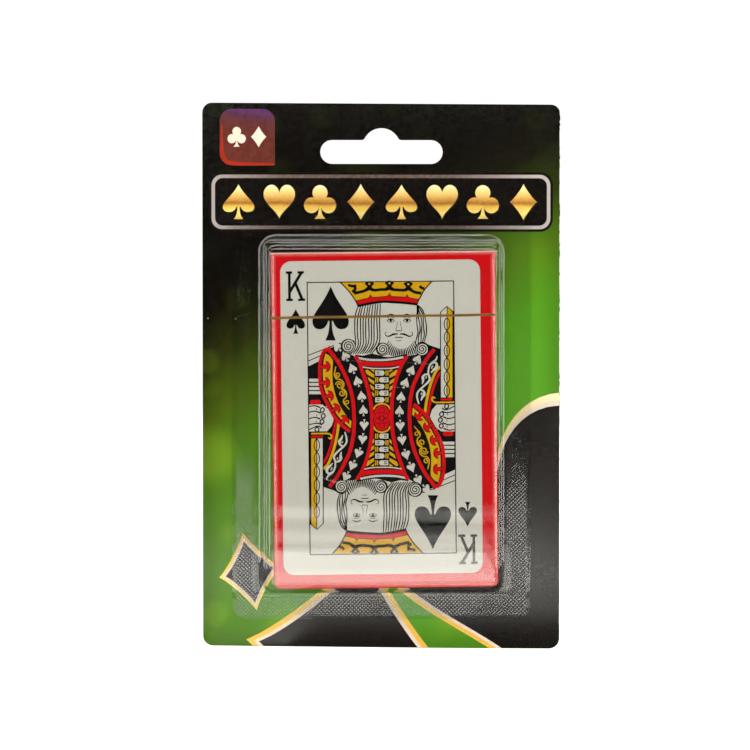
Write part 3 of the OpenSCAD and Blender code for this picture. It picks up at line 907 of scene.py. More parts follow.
    for cx, cy in ((446.9, 406.3), (441.9, 414.3), (440.7, 420.0), (441.6, 426.0)):
        draw("black", ring(cx, cy, 1.9, 2.3, 18, 0.3), 1.25, 6, smooth=False, closed=True)
    for x, y in ((447.6, 414.6), (447.0, 420.8), (447.2, 427.0)):
        draw("black", [(x, y - 1.3), (x + 0.3, y + 0.8)], 0.7, 6, False)


def face():
    ink["white"].poly(rounded(-0.84, 0.66, 53.6, 84.3, (3.0,) * 4), level(0), 0.0)
    figure(1)
    figure(-1)
    hw, hh = 73.3 / DRAW, 136.4 / DRAW
    w = 0.95 / DRAW
    # frame line, as four overlapping bars
    for u0, v0, u1, v1 in ((-hw, -hh, hw, -hh), (-hw, hh, hw, hh)):
        ink["black"].line([(FACE_U + u0 - w / 2, FACE_V + v0), (FACE_U + u1 + w / 2, FACE_V + v1)], w, level(8))
    for u in (-hw, hw):
        ink["black"].line([(FACE_U + u, FACE_V - hh), (FACE_U + u, FACE_V + hh)], w, level(8))
    # medallion, the same from both ends
    cu, cv = FACE_U, FACE_V
    ink["black"].poly(ring(cu, cv, 9.0 / DRAW, 13.6 / DRAW, 40), level(4))
    ink["red"].poly(ring(cu, cv, 8.2 / DRAW, 12.8 / DRAW, 40), level(5))
    for dx, dy, r in ((0, 7.6, 2.7), (0, -7.6, 2.7), (-4.2, 2.6, 2.5), (4.2, 2.6, 2.5), (-4.2, -3.0, 2.5), (4.2, -3.0, 2.5), (0, -0.2, 2.2)):
        ink["black"].line(ring(cu + dx / DRAW, cv + dy / DRAW, r / DRAW, n=22), 0.5 / DRAW, level(6), True)


face()
for key, name in (("white", "face_print_white"), ("black", "face_print_black"), ("red", "face_print_red"), ("yellow", "face_print_yellow")):
    ink[key].make(name, INK[key], "boxed_deck", "box_board")


# ---------------------------------------------------------------- tuck box
def box_loop(grow, r, notch=True):
    """Points round the box's section, (u, w, top height), anticlockwise seen from above."""
    hu, w0, w1 = BOX_W / 2 + grow, -grow, BOX_D + grow
    top_front, top_side, top_back = BOX_H / 2 - BOARD - 0.05, BOX_H / 2 - 0.5, BOX_H / 2
    out = []

    def arc(cu, cw, a0, ta, tb):
        for i in range(7):
            a = math.radians(a0 + 15 * i)
            out.append((cu + r * math.cos(a), cw + r * math.sin(a), ta + (tb - ta) * i / 6))

    # back panel, with the thumb notch
    xs = [-hu + r + 0.01]
    if notch:
        xs += [-12.0, -8.4, -8.001] + [8.0 * math.sin(math.radians(a)) for a in range(-90, 91, 6)] + [8.001, 8.4, 12.0]
    xs += [hu - r - 0.01]
    arc(-hu + r, w0 + r, 180, top_side, top_back)
    for x in xs:
        d = math.sqrt(max(64.0 - x * x, 0.0)) if abs(x) <= 8.0 and notch else 0.0
        out.append((x, w0, top_back - d))
    arc(hu - r, w0 + r, 270, top_back, top_side)
    out.append((hu, BOX_D / 2, top_side))
    arc(hu - r, w1 - r, 0, top_side, top_front)
    out += [(x, w1, top_front) for x in (20.0, 0.0, -20.0)]
    arc(-hu + r, w1 - r, 90, top_front, top_side)
    out.append((-hu, BOX_D / 2, top_side))
    return out


def tuck_box():
    outer, inner = box_loop(0.0, 0.8), box_loop(-BOARD, 0.42)
    n = len(outer)
    bottom, floor = -BOX_H / 2, -BOX_H / 2 + 2 * BOARD
    verts, faces, index = [], [], []

    def loop(src, height, shrink=0.0, narrow=0.0):
        b = len(verts)
        for u, w, top in src:
            v = top if height is None else height
            du = u * (1 - narrow / (BOX_W / 2))
            dw = BOX_D / 2 + (w - BOX_D / 2) * (1 - shrink / (BOX_D / 2))
            verts.append(in_box(du, v, dw))
        return b

    def skin(a, b, mat):
        for i in range(n):
            j = (i + 1) % n
            faces.append([a + i, a + j, b + j, b + i])
            index.append(mat)

    # outside, with a rounded bottom fold
    rings = [loop(outer, bottom + 1.6 * (1 - math.sin(a)), 0.5 * (1 - math.cos(a)), 1.6 * (1 - math.cos(a))) for a in (math.radians(15 * k) for k in range(6, -1, -1))]
    side = loop(outer, 20.0)
    rim = loop(outer, None)
    for a, b in zip(rings, rings[1:]):
        skin(a, b, 0)
    skin(rings[-1], side, 0)
    skin(side, rim, 0)
    faces.append([rings[0] + i for i in range(n)][::-1])
    index.append(0)
    # inside
    irim = loop(inner, None)
    iside = loop(inner, 20.0)
    ibase = loop(inner, floor)
    skin(rim, irim, 2)
    skin(irim, iside, 1)
    skin(iside, ibase, 1)
    faces.append([ibase + i for i in range(n)])
    index.append(1)
    ob = make("tuck_box_board", verts, faces, [RED_BOARD, BARE_BOARD, CORE_BOARD], "boxed_deck", index, 32)
    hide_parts("tuck_box")


tuck_box()


# ---------------------------------------------------------------- film and tape
def film_loop(grow, r=1.0):
    return [(u, w) for u, w, _ in box_loop(grow, r, False)]


def film_part(name, node, body, v_end, v_cut, way, wrinkles=()):
    """A wrapped end of the film: from the folded end at v_end to the cut at v_cut."""
    verts, faces = [], []
    thick, soft = 0.02, 1.65 if way < 0 else 0.55

    def loop(grow, v, shrink=0.0, narrow=0.0, wob=0.0):
        b = len(verts)
        for k, (u, w) in enumerate(film_loop(grow)):
            du = u * (1 - narrow / (BOX_W / 2))
            dw = BOX_D / 2 + (w - BOX_D / 2) * (1 - shrink / (BOX_D / 2))
            verts.append(in_box(du, v + wob * math.sin(k * 1.9), dw))
        return b, k + 1

    def skin(a, b, n):
        for i in range(n):
            j = (i + 1) % n
            faces.append([a + i, a + j, b + j, b + i])

    shells = []
    for grow in (0.092, 0.092 - thick):
        e = v_end + way * grow
        rs = []
        for a in (90, 75, 60, 45, 30, 15, 0):
            t = math.radians(a)
            b, n = loop(grow, e - way * soft * (1 - math.sin(t)), 0.55 * (1 - math.cos(t)), soft * (1 - math.cos(t)))
            rs.append(b)
        for f in (0.008, 0.25, 0.6, 1.0):
            b, n = loop(grow, e - way * soft + (v_cut - e + way * soft) * f)
            rs.append(b)
        for a, b in zip(rs, rs[1:]):
            skin(a, b, n)
        faces.append([rs[0] + i for i in range(n)])
        shells.append((rs[-1], n))
    (a, n), (b, _) = shells
    skin(a, b, n)

    # folded end: two side tucks under a trapezoid from the back and one from the front
    def plate(pts, h0, h1, lay):
        b, m = len(verts), len(pts)
        verts.extend(lay(p, q, h0) for p, q in pts)
        verts.extend(lay(p, q, h1) for p, q in pts)
        faces.append(list(range(b, b + m)))
        faces.append(list(range(b + m, b + 2 * m)))
        for i in range(m):
            j = (i + 1) % m
            faces.append([b + i, b + j, b + m + j, b + m + i])

    end = lambda u, w, h: in_box(u, v_end + way * (0.092 + h), w)
    plate([(-28.5, 0.6), (-21.4, 8.3), (-21.4, 8.9), (-28.5, 16.4)], 0.012, 0.026, end)
    plate([(28.5, 0.6), (21.4, 8.3), (21.4, 8.9), (28.5, 16.4)], 0.012, 0.026, end)
    plate([(-28.4, 0.6), (28.4, 0.6), (19.0, 10.4), (-19.0, 10.4)], 0.036, 0.050, end)
    plate([(-28.4, 16.4), (28.4, 16.4), (20.4, 7.6), (-20.4, 7.6)], 0.060, 0.074, end)
    # lap seam down the back
    lo, hi = sorted((v_end - way * 0.8, v_cut))
    back = lambda u, v, h: in_box(u, v, -0.092 - h)
    plate([(-3.4, lo), (6.2, lo), (6.2, hi), (-3.4, hi)], 0.010, 0.024, back)
    # small lens-shaped wrinkles in the front
    for u0, v0, length, width, height, turn in wrinkles:
        c, s = math.cos(turn), math.sin(turn)
        na, nb = 24, 8
        grid = {}
        for i in range(1, na):
            f = math.sin(math.pi * i / na)
            for j in range(nb + 1):
                t = -1 + 2 * j / nb
                x, y = (i / na - 0.5) * length, 0.5 * width * f * t
                z = height * f * (1 - t * t)
                verts.append(on_box(u0 + c * x - s * y, v0 + s * x + c * y, 0.094 + z))
                grid[i, j] = len(verts) - 1
        tips = []
        for x in (-length / 2, length / 2):
            verts.append(on_box(u0 + c * x, v0 + s * x, 0.094))
            tips.append(len(verts) - 1)
        for i in range(1, na - 1):
            for j in range(nb):
                faces.append([grid[i, j], grid[i + 1, j], grid[i + 1, j + 1], grid[i, j + 1]])
        for j in range(nb):
            faces.append([tips[0], grid[1, j], grid[1, j + 1]])
            faces.append([tips[1], grid[na - 1, j + 1], grid[na - 1, j]])
        rim = [tips[0]] + [grid[i, 0] for i in range(1, na)] + [tips[1]] + [grid[i, nb] for i in range(na - 1, 0, -1)]
        faces.append(rim)
    ob = make(name, verts, faces, [FILM], body, None, 32)
    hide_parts(node)


WRINKLES = (
    (-7.6, 16.5, 19.0, 1.7, 0.050, math.radians(-1.5)),
    (9.8, 15.6, 11.4, 1.9, 0.052, math.radians(-2.5)),
    (4.9, 9.0, 7.4, 0.95, 0.034, math.radians(1.0)),
    (-13.2, -15.6, 8.0, 2.7, 0.060, math.radians(-6.0)),
    (-9.4, -27.6, 9.0, 1.6, 0.040, math.radians(2.0)),
)
film_part("film_sleeve", "overwrap_sleeve", "boxed_deck", -BOX_H / 2, TEAR_V, -1, WRINKLES)
film_part("film_cap", "overwrap_cap", "film_cap", BOX_H / 2, TEAR_V, 1)


def tape():
    verts, faces = [], []
    loops = []
    fine = []
    base = film_loop(0.0, 0.5)
    m = len(base)
    for i in range(m):
        a, b = base[i], base[(i + 1) % m]
        k = max(1, int(math.hypot(b[0] - a[0], b[1] - a[1]) / 1.2))
        fine += [(a[0] + (b[0] - a[0]) * t / k, a[1] + (b[1] - a[1]) * t / k) for t in range(k)]
    n = len(fine)
    for grow, dv in ((0.104, -0.34), (0.104, 0.34), (0.122, 0.30), (0.130, 0.0), (0.122, -0.30)):
        b = len(verts)
        for i, (u, w) in enumerate(fine):
            su, sw = (BOX_W / 2 + grow) / (BOX_W / 2), (BOX_D / 2 + grow) / (BOX_D / 2)
            wave = 0.035 * math.sin(i * 0.33) + 0.02 * math.sin(i * 0.91 + 1.0)
            verts.append(in_box(u * su, TEAR_V + dv + wave + 0.004 * u, BOX_D / 2 + (w - BOX_D / 2) * sw))
        loops.append(b)
    for a, b in zip(loops, loops[1:] + loops[:1]):
        for i in range(n):
            j = (i + 1) % n
            faces.append([a + i, a + j, b + j, b + i])
    ob = make("tear_tape_band", verts, faces, [gold_tape()], "film_cap", None, 50)
    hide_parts("tear_tape")


tape()


# ---------------------------------------------------------------- backing card
CARD_V = (CARD_TOP + CARD_BOTTOM) / 2
CARD_OUT = rounded(0.0, CARD_V, CARD_W, CARD_TOP - CARD_BOTTOM, (2.9, 2.9, 2.6, 2.6), 12)


def slot_outline():
    r, a = 3.25, 13.5
    out = []
    for i in range(25):
        t = math.radians(90 + 180 * i / 24)
        out.append((-a + r * math.cos(t), r * math.sin(t)))
    for i in range(25):
        t = math.radians(-90 + 180 * i / 24)
        out.append((a + r * math.cos(t), r * math.sin(t)))
    # arch, with a small round where it leaves the slot
    foot = math.sqrt(5.2 ** 2 - (r - 1.3) ** 2)
    out.append((foot + 0.55, r))
    out.append((foot + 0.16, r + 0.12))
    a0 = math.asin((r - 1.3) / 5.2) + 0.07
    for i in range(29):
        t = a0 + (math.pi - 2 * a0) * i / 28
        out.append((5.2 * math.cos(t), 1.3 + 5.2 * math.sin(t)))
    out.append((-foot - 0.16, r + 0.12))
    out.append((-foot - 0.55, r))
    return out


def inset(poly, d):
    """An outline moved inwards, for a small bevel; the outline runs anticlockwise."""
    n = len(poly)
    out = []
    for i, p in enumerate(poly):
        a, c = poly[i - 1], poly[(i + 1) % n]
        tx, ty = c[0] - a[0], c[1] - a[1]
        m = math.hypot(tx, ty) or 1.0
        out.append((p[0] - ty / m * d, p[1] + tx / m * d))
    return out


def dense(poly, step):
    out = []
    for i, p in enumerate(poly):
        q = poly[(i + 1) % len(poly)]
        k = max(1, int(math.hypot(q[0] - p[0], q[1] - p[1]) / step))
        out += [(p[0] + (q[0] - p[0]) * t / k, p[1] + (q[1] - p[1]) * t / k) for t in range(k)]
    return out


def backing_card():
    outer = dense(CARD_OUT, 4.0)
    hole = slot_outline()
    verts, faces, index = [], [], []
    b = 0.09

    def loop(poly, w):
        k = len(verts)
        verts.extend((u * MM, -w * MM, v * MM) for u, v in poly)
        return k

    def skin(a, c, n, mat):
        for i in range(n):
            j = (i + 1) % n
            faces.append([a + i, a + j, c + j, c + i])
            index.append(mat)

    no, nh = len(outer), len(hole)
    of_, om = loop(inset(outer, b), CARD_T), loop(outer, CARD_T - b)
    ob_, on = loop(outer, b), loop(inset(outer, b), 0.0)
    hf, hm = loop(inset(hole[::-1], b)[::-1], CARD_T), loop(hole, CARD_T - b)
    hb, hn = loop(hole, b), loop(inset(hole[::-1], b)[::-1], 0.0)
    skin(of_, om, no, 0)
    skin(om, ob_, no, 1)
    skin(ob_, on, no, 2)
    skin(hf, hm, nh, 0)
    skin(hm, hb, nh, 1)
    skin(hb, hn, nh, 2)
    for fo, fh, mat in ((of_, hf, 0), (on, hn, 2)):
        lo_pts = [Vector((verts[fo + i][0], verts[fo + i][2], 0)) for i in range(no)]
        ho_pts = [Vector((verts[fh + i][0], verts[fh + i][2], 0)) for i in range(nh)]
        where = [fo + i for i in range(no)] + [fh + i for i in range(nh)]
        for t in tessellate_polygon([lo_pts, ho_pts]):
            faces.append([where[i] for i in t])
            index.append(mat)
    ob = make("backing_card_board", verts, faces, [card_print(), CORE_BOARD, GREY_BOARD], "backing", index, shape=bend_card)
    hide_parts("backing_card")


backing_card()


# Printed panel, badge and suit marks on the backing card
def gold_print(name, z0, z1):
    s = Shade(name)
    p = s.place()
    x, y, z = s.xyz(p)[:3]
    t = s.math("ADD", s.span(z, z0, z1, smooth=False), s.math("MULTIPLY", s.math("SUBTRACT", s.noise(p, 120.0, 2.0, 0.5), 0.5), 0.10))
    col = s.ramp(t, [(0.0, lin(236, 186, 66)), (0.16, lin(252, 226, 128)), (0.34, lin(238, 190, 72)), (0.46, lin(150, 96, 26)),
                     (0.56, lin(196, 142, 48)), (0.78, lin(238, 206, 120)), (1.0, lin(250, 236, 184))])
    fine = s.noise(p, 1300.0, 3.0, 0.55)
    col = s.mix(s.span(fine, 0.45, 0.75, 0.0, 0.22), col, lin(150, 100, 30))
    return s.done(s.principled(col, s.span(fine, 0.3, 0.7, 0.22, 0.34), s.bump(fine, 0.1, 0.00002)))


def silver_print():
    s = Shade("panel_border_print")
    p = s.place()
    x = s.xyz(p)[0]
    t = s.span(s.math("ABSOLUTE", s.math("ADD", x, 0.004)), 0.0, 0.046, smooth=False)
    col = s.ramp(t, [(0.0, lin(88, 70, 58)), (0.5, lin(100, 84, 74)), (0.8, lin(146, 132, 124)), (1.0, lin(176, 166, 158))])
    fine = s.noise(p, 1100.0, 3.0, 0.55)
    col = s.mix(s.span(fine, 0.4, 0.8, 0.0, 0.2), col, lin(70, 60, 52))
    return s.done(s.principled(col, s.span(fine, 0.3, 0.7, 0.22, 0.32), s.bump(fine, 0.1, 0.00002)))


def badge_print():
    s = Shade("badge_print")
    p = s.place()
    x, y, z = s.xyz(p)[:3]
    t = s.math("ADD", s.span(z, 0.0005, 0.0120, smooth=False), s.math("MULTIPLY", s.span(x, -0.0445, -0.0290, smooth=False), 0.18))
    col = s.ramp(t, [(0.0, lin(92, 38, 30)), (0.50, lin(88, 36, 29)), (0.76, lin(86, 38, 40)), (0.92, lin(74, 37, 60)), (1.0, lin(76, 41, 82))])
    cloud = s.noise(p, 420.0, 4.0, 0.6)
    col = s.mix(s.span(cloud, 0.25, 0.85, 0.0, 0.22), col, lin(112, 56, 32))
    return s.done(s.principled(col, s.span(cloud, 0.3, 0.7, 0.24, 0.34), s.bump(cloud, 0.08, 0.00002), Specular_IOR_Level=0.15))


def suit_black():
    """Black suit fields: a grey sheen painted into the colour drifts over them, with a fine screen."""
    s = Shade("suit_black_print")
    p = s.place()
    cloud = s.noise(p, 26.0, 2.0, 0.5)
    fine = s.noise(p, 1500.0, 3.0, 0.55)
    # painted sheen: the black lightens to grey in soft clouds
    col = s.mix(s.span(cloud, 0.35, 0.7), lin(15, 11, 7), lin(26, 21, 15))
    col = s.mix(s.span(fine, 0.5, 0.8, 0.0, 0.3), col, lin(44, 38, 30))
    return s.done(s.principled(col, s.span(fine, 0.3, 0.7, 0.14, 0.22), s.bump(fine, 0.1, 0.00001), Specular_IOR_Level=0.8))


def backing_art():
    gold, black, silver, badge, rim, pale, rich, dark = (Ink(on_card) for _ in range(8))
    # panel
    cx, cz, w, h, r = -0.1, -13.65, 92.8, 14.9, 2.9
    silver.poly(rounded(cx, cz, w, h, (r,) * 4), 0.004, -0.01)
    black.poly(rounded(cx, cz, w - 1.9, h - 1.9, (r - 0.75,) * 4), 0.008, -0.01)
    black.line(rounded(cx, cz, w + 0.7, h + 0.7, (r + 0.3,) * 4), 0.7, 0.003, True, -0.01)
    order = [spade(), heart(), None, diamond()] * 2
    for i, shape in enumerate(order):
        px = cx + (i - 3.5) * 11.15
        parts = club_parts() if shape is None else [shape]
        sx, sz = (8.6, 9.4) if shape is not None else (8.8, 9.2)
        if i % 4 == 3:
            sx, sz = 7.4, 9.8
        for part in parts:
            gold.poly(put(part, px, cz, sx, sz), 0.015, -0.01)
            dark.poly(put(part, px + 0.16, cz - 0.20, sx * 1.07, sz * 1.07), 0.0115, -0.01)
    # badge
    bx, bz, bs = -36.7, 3.92, 15.1
    badge.poly(rounded(bx, bz, bs, bs, (3.3, 0.4, 3.3, 3.3), 12), 0.010, -0.01)
    arc = [(bx - bs / 2 + 0.62, bz + 3.4), (bx - bs / 2 + 0.58, bz - 2.0), (bx - bs / 2 + 0.66, bz - 4.2), (bx - bs / 2 + 1.5, bz - 6.3), (bx - bs / 2 + 3.6, bz - 7.05),
           (bx, bz - 7.25), (bx + bs / 2 - 0.2, bz - 7.3)]
    q = flow(arc, 8)
    rim.line(q, [0.25 + 0.9 * min(1.0, i / 14) if i < 30 else max(1.15 - 0.03 * (i - 30), 0.6) for i in range(len(q))], 0.016, False, -0.01)
    for part in club_parts():
        pale.poly(put(part, bx - 2.9, bz + 0.2, 5.0, 5.4), 0.022, -0.01)
    pale.poly(put(diamond(), bx + 3.1, bz + 0.2, 4.2, 5.8), 0.022, -0.01)
    # large suit marks, cut off by the card's edges
    window = inset(CARD_OUT, 0.12)
    layers = []

    def mark(shape, px, pz, sw, sh, turn, rims=(1.10, 1.045)):
        for k, grow in enumerate((*rims, 1.0)):
            q = clip(put(shape, px, pz, sw, sh, turn, grow), window)
            if len(q) > 2:
                (rich, pale, dark)[k].poly(q, 0.006 + 0.006 * k + 0.018 * len(layers), -0.01)
        layers.append(1)

    mark(heart(96), 37.0, -112.0, 74.0, 78.0, math.radians(14), (1.085, 1.036))
    mark(diamond(72), -9.0, -139.0, 50.0, 56.0, math.radians(-9), (1.14, 1.06))
    small = put(diamond(60), -36.2, -115.2, 13.4, 17.5, math.radians(10))
    rich.poly(put(diamond(60), -36.2, -115.2, 13.4, 17.5, math.radians(10), 1.26), 0.006, -0.01)
    pale.poly(put(diamond(60), -36.2, -115.2, 13.4, 17.5, math.radians(10), 1.12), 0.012, -0.01)
    dark.poly(small, 0.018, -0.01)

    gold.make("panel_pips_gold", gold_print("pip_gold_print", -0.0185, -0.0088), "backing", "backing_board", bend_card)
    black.make("panel_ground", ink_material("panel_ground_print", lin(15, 12, 10), lin(24, 20, 17), 0.28), "backing", "backing_board", bend_card)
    silver.make("panel_border", silver_print(), "backing", "backing_board", bend_card)
    badge.make("badge_ground", badge_print(), "backing", "backing_board", bend_card)
    rim.make("badge_rim", ink_material("badge_rim_print", lin(164, 44, 24), lin(142, 37, 24), 0.28), "backing", "backing_board", bend_card)
    pale.make("pale_marks", ink_material("pale_print", lin(226, 214, 192), lin(212, 198, 172), 0.28), "backing", "backing_board", bend_card)
    rich.make("gold_rims", gold_print("rim_gold_print", -0.130, -0.066), "backing", "backing_board", bend_card)
    dark.make("dark_marks", suit_black(), "backing", "backing_board", bend_card)


backing_art()


# ---------------------------------------------------------------- blister
def tub_at(w, inside):
    t = (w - 0.5) / 17.8
    k = 0.0 if not inside else 0.3
    return 33.1 - k - 1.0 * t, 48.6 - k - 1.1 * t, 4.3 - k - 2.0 * t


# The tub's bends as flats joined by tight turns: angle of the flat from the front, and its width seen from the front
NOSE = ((87.0, 0.0), (31.0, 0.36), (66.0, 0.22), (31.0, 0.36), (20.0, 0.30), (11.0, 0.34), (5.0, 0.08), (11.0, 0.03), (5.0, 0.05), (0.0, 0.0))
# along the top the sheet has drawn over a wider edge
NOSE_TOP = ((87.0, 0.0), (31.0, 0.36), (66.0, 0.22), (31.0, 0.36), (20.0, 0.30), (11.0, 0.34), (5.0, 0.50), (11.0, 0.36), (5.0, 0.45), (0.0, 0.0))
FOOT = ((0.0, 0.0), (31.0, 0.40), (62.0, 0.20), (87.0, 0.0))


def bends(flats, size, turn=0.045, n=6):
    """How far in and how far forward, ring by ring."""
    d = up = 0.0
    rows = []
    for k, (angle, width) in enumerate(flats):
        if k:
            before = flats[k - 1][0]
            for i in range(n):
                t = math.radians(before + (angle - before) * (i + 1) / (n + 1))
                d += math.cos(t) * turn / n * size
                up += math.sin(t) * turn / n * size
                rows.append((d, up))
        if width:
            d += width * size
            up += width * size * math.tan(math.radians(angle))
            rows.append((d, up))
    return d, up, rows


def blister():
    fw, fh, fr = 82.0, 113.0, 4.0
    nx, nz = 154, 212
    gx, gz = fw / nx, fh / nz
    fillet, foot_up, foot = bends(FOOT, 1.0)
    a0, b0, r0 = tub_at(0.8, False)
    ia, ib, ir = a0 + fillet, b0 + fillet, r0 + fillet

    def depth(x, v, a, b, r):
        """Distance to a rounded rectangle's outline, positive inside."""
        qx, qv = abs(x) - (a - r), abs(v) - (b - r)
        out = math.hypot(max(qx, 0.0), max(qv, 0.0)) + min(max(qx, qv), 0.0)
        return r - out

    def snap(x, v, a, b, r):
        cx, cv = min(max(x, -(a - r)), a - r), min(max(v, -(b - r)), b - r)
        dx, dv = x - cx, v - cv
        m = math.hypot(dx, dv)
        if m < 1e-9:
            # inside the core: go to the nearest side
            if a - abs(x) < b - abs(v):
                return (math.copysign(a, x), v)
            return (x, math.copysign(b, v))
        return (cx + dx / m * r, cv + dv / m * r)

    keep = {}
    cells = []
    for i in range(nx):
        for j in range(nz):
            x, v = -fw / 2 + (i + 0.5) * gx, -fh / 2 + (j + 0.5) * gz
            if depth(x, v, fw / 2, fh / 2, fr) > 0 and depth(x, v, ia, ib, ir) < 0:
                cells.append((i, j))
    edges = {}
    for i, j in cells:
        q = ((i, j), (i + 1, j), (i + 1, j + 1), (i, j + 1))
        for k in range(4):
            e = (q[k], q[(k + 1) % 4])
            if (e[1], e[0]) in edges:
                del edges[(e[1], e[0])]
            else:
                edges[e] = True
    follow = {}
    for a, b in edges:
        follow.setdefault(a, []).append(b)
    loops = []
    while follow:
        start = next(iter(follow))
        path, cur = [start], start
        while True:
            nxt = follow[cur].pop()
            if not follow[cur]:
                del follow[cur]
            if nxt == start:
                break
            path.append(nxt)
            cur = nxt
        loops.append(path)
    loops.sort(key=len)
    inner, outer = loops[-2], loops[-1]
    pos = {}
    for i, j in cells:
        for p in ((i, j), (i + 1, j), (i + 1, j + 1), (i, j + 1)):
            pos.setdefault(p, (-fw / 2 + p[0] * gx, -fh / 2 + p[1] * gz))
    for p in outer:
        pos[p] = snap(*pos[p], fw / 2, fh / 2, fr)
    for p in inner:
        pos[p] = snap(*pos[p], ia, ib, ir)
    rim = set(outer) | set(inner)

    verts, faces, flat = [], [], []
    vid = {}
    top = 0.78

    def add(x, v, w):
        verts.append((x * MM, -w * MM, (TUB_V + v) * MM))
        return len(verts) - 1

    for p, (x, v) in pos.items():
        lift = 0.0
        if p not in rim and (p[0] + p[1]) % 2 == 0:
            d = depth(x, v, fw / 2, fh / 2, fr)
            if 0.7 < d < 6.1:
                fade = min(1.0, (d - 0.7) / 0.5) * min(1.0, (6.1 - d) / 0.5)
                lift = 0.17 * fade * (0.85 + 0.3 * rng.random())
        vid[p] = add(x, v, top + lift)
    for i, j in cells:
        a, b, c, d = (vid[q] for q in ((i, j), (i + 1, j), (i + 1, j + 1), (i, j + 1)))
        flat += [len(faces), len(faces) + 1]
        if (i + j) % 2 == 0:
            faces += [[a, b, d], [b, c, d]]
        else:
            faces += [[a, b, c], [a, c, d]]

    # tub, ring by ring, on the inner outline's own points
    core = []
    for p in inner:
        x, v = pos[p]
        cx, cv = min(max(x, -(ia - ir)), ia - ir), min(max(v, -(ib - ir)), ib - ir)
        m = math.hypot(x - cx, v - cv) or 1.0
        core.append((cx / (ia - ir), cv / (ib - ir), (x - cx) / m, (v - cv) / m))
    n = len(inner)

    def tub_ring(a, b, r, w, d=0.0, f=0.0, more=(0.0, 0.0)):
        """One ring of the tub. In its bends the sheet has drawn unevenly: by d in the bend, and f is 0 at the bend's ends.
        Along the top, more gives how much further in and further forward it goes."""
        ring_ = []
        for i, (sx, sv, nx_, nv) in enumerate(core):
            t = math.tau * i / n
            e = f * (0.016 * math.sin(7 * t + 9.0 * d) + 0.011 * math.sin(17 * t - 12.0 * d + 1.0) + 0.006 * math.sin(41 * t + 7.0 * d))
            g = max(nv, 0.0) if sv > 0 else 0.0
            g = g * g * (3 - 2 * g)
            ring_.append(add(sx * (a - r) + nx_ * (r + e), sv * (b - r) + nv * (r + e) - g * more[0], w + g * more[1]))
        return ring_

    def skin(a, b):
        for i in range(n):
            j = (i + 1) % n
            faces.append([a[i], a[j], b[j], b[i]])

    prev = [vid[p] for p in inner]
    front = 18.3
    for d, up in foot:
        a, b, r = tub_at(top + up, False)
        cur = tub_ring(a + fillet - d, b + fillet - d, r + fillet - d, top + up, d, math.sin(math.pi * d / fillet))
        skin(prev, cur)
        prev = cur
    reach, rise, turns = bends(NOSE, 1.0)
    _, rise_top, turns_top = bends(NOSE_TOP, 1.0)
    for w in (3.0, 6.0, 9.0, 12.0, 14.8, front - rise):
        a, b, r = tub_at(w, False)
        # a shallow hollow half-way up, as the sheet thins in forming
        bow = 0.10 * math.sin(math.pi * min(max((w - 1.5) / 15.0, 0.0), 1.0))
        cur = tub_ring(a - bow, b - bow, r, w, more=(0.0, rise - rise_top if w > 15.0 else 0.0))
        skin(prev, cur)
        prev = cur
    for (d, up), (dt, ut) in zip(turns, turns_top):
        a, b, r = tub_at(front, False)
        cur = tub_ring(a - d, b - d, max(r - 0.5 * d, 0.4), front - rise + up, d, math.sin(math.pi * d / reach), (dt - d, ut - up + rise - rise_top))
        skin(prev, cur)
        prev = cur
    flat.append(len(faces))
    faces.append(prev)
    # inside of the sheet
    under = 0.56
    fi, foot_up, foot = bends(FOOT, 1.25)
    inside = len(faces)
    a, b, r = tub_at(under, True)
    base = tub_ring(a + fi, b + fi, r + fi, under)
    prev = base
    for d, up in foot:
        a, b, r = tub_at(under + up, True)
        cur = tub_ring(a + fi - d, b + fi - d, r + fi - d, under + up)
        skin(prev, cur)
        prev = cur
    ifront = 18.04
    reach, rise, turns = bends(NOSE, 0.92)
    _, rise_top, turns_top = bends(NOSE_TOP, 0.92)
    for w in (3.0, 6.0, 9.0, 12.0, 14.8, ifront - rise):
        a, b, r = tub_at(w, True)
        bow = 0.10 * math.sin(math.pi * min(max((w - 1.5) / 15.0, 0.0), 1.0))
        cur = tub_ring(a - bow, b - bow, r, w, more=(0.0, rise - rise_top if w > 15.0 else 0.0))
        skin(prev, cur)
        prev = cur
    for (d, up), (dt, ut) in zip(turns, turns_top):
        a, b, r = tub_at(ifront, True)
        cur = tub_ring(a - d, b - d, max(r - 0.5 * d, 0.3), ifront - rise + up, more=(dt - d, ut - up + rise - rise_top))
        skin(prev, cur)
        prev = cur
    walls = len(faces)
    flat.append(len(faces))
    faces.append(prev[::-1])
    # underside and outer edge of the flange
    low = [add(*pos[p], under) for p in outer]
    hi = [vid[p] for p in outer]
    m = len(outer)
    for i in range(m):
        j = (i + 1) % m
        faces.append([hi[i], hi[j], low[j], low[i]])
    lo_pts = [Vector((verts[i][0], verts[i][2], 0)) for i in low]
    ho_pts = [Vector((verts[i][0], verts[i][2], 0)) for i in base]
    where = low + base
    sealed = len(faces)
    for t in tessellate_polygon([lo_pts, ho_pts]):
        faces.append([where[i] for i in t])
    index = [1 if inside <= i < walls or i >= sealed else 0 for i in range(len(faces))]
    ob = make("blister_sheet", verts, faces, [BLISTER, SEALED], "blister", index, 40, flat)
    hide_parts("blister_shell")


blister()


# ---------------------------------------------------------------- pieces that keep their own shape
def dress(name, mat):
    me = nodes[name].data
    me.materials.clear()
    me.materials.append(mat)


CLOSURE = flap_board()
STOCK = card_stock()
dress("tuck_flap", CLOSURE)
dress("tuck_tongue", BARE_BOARD)
dress("dust_flap_left", BARE_BOARD)
dress("dust_flap_right", BARE_BOARD)
for name in nodes:
    if name == "jokers" or "_of_" in name or "_2_to_10" in name:
        dress(name, STOCK)


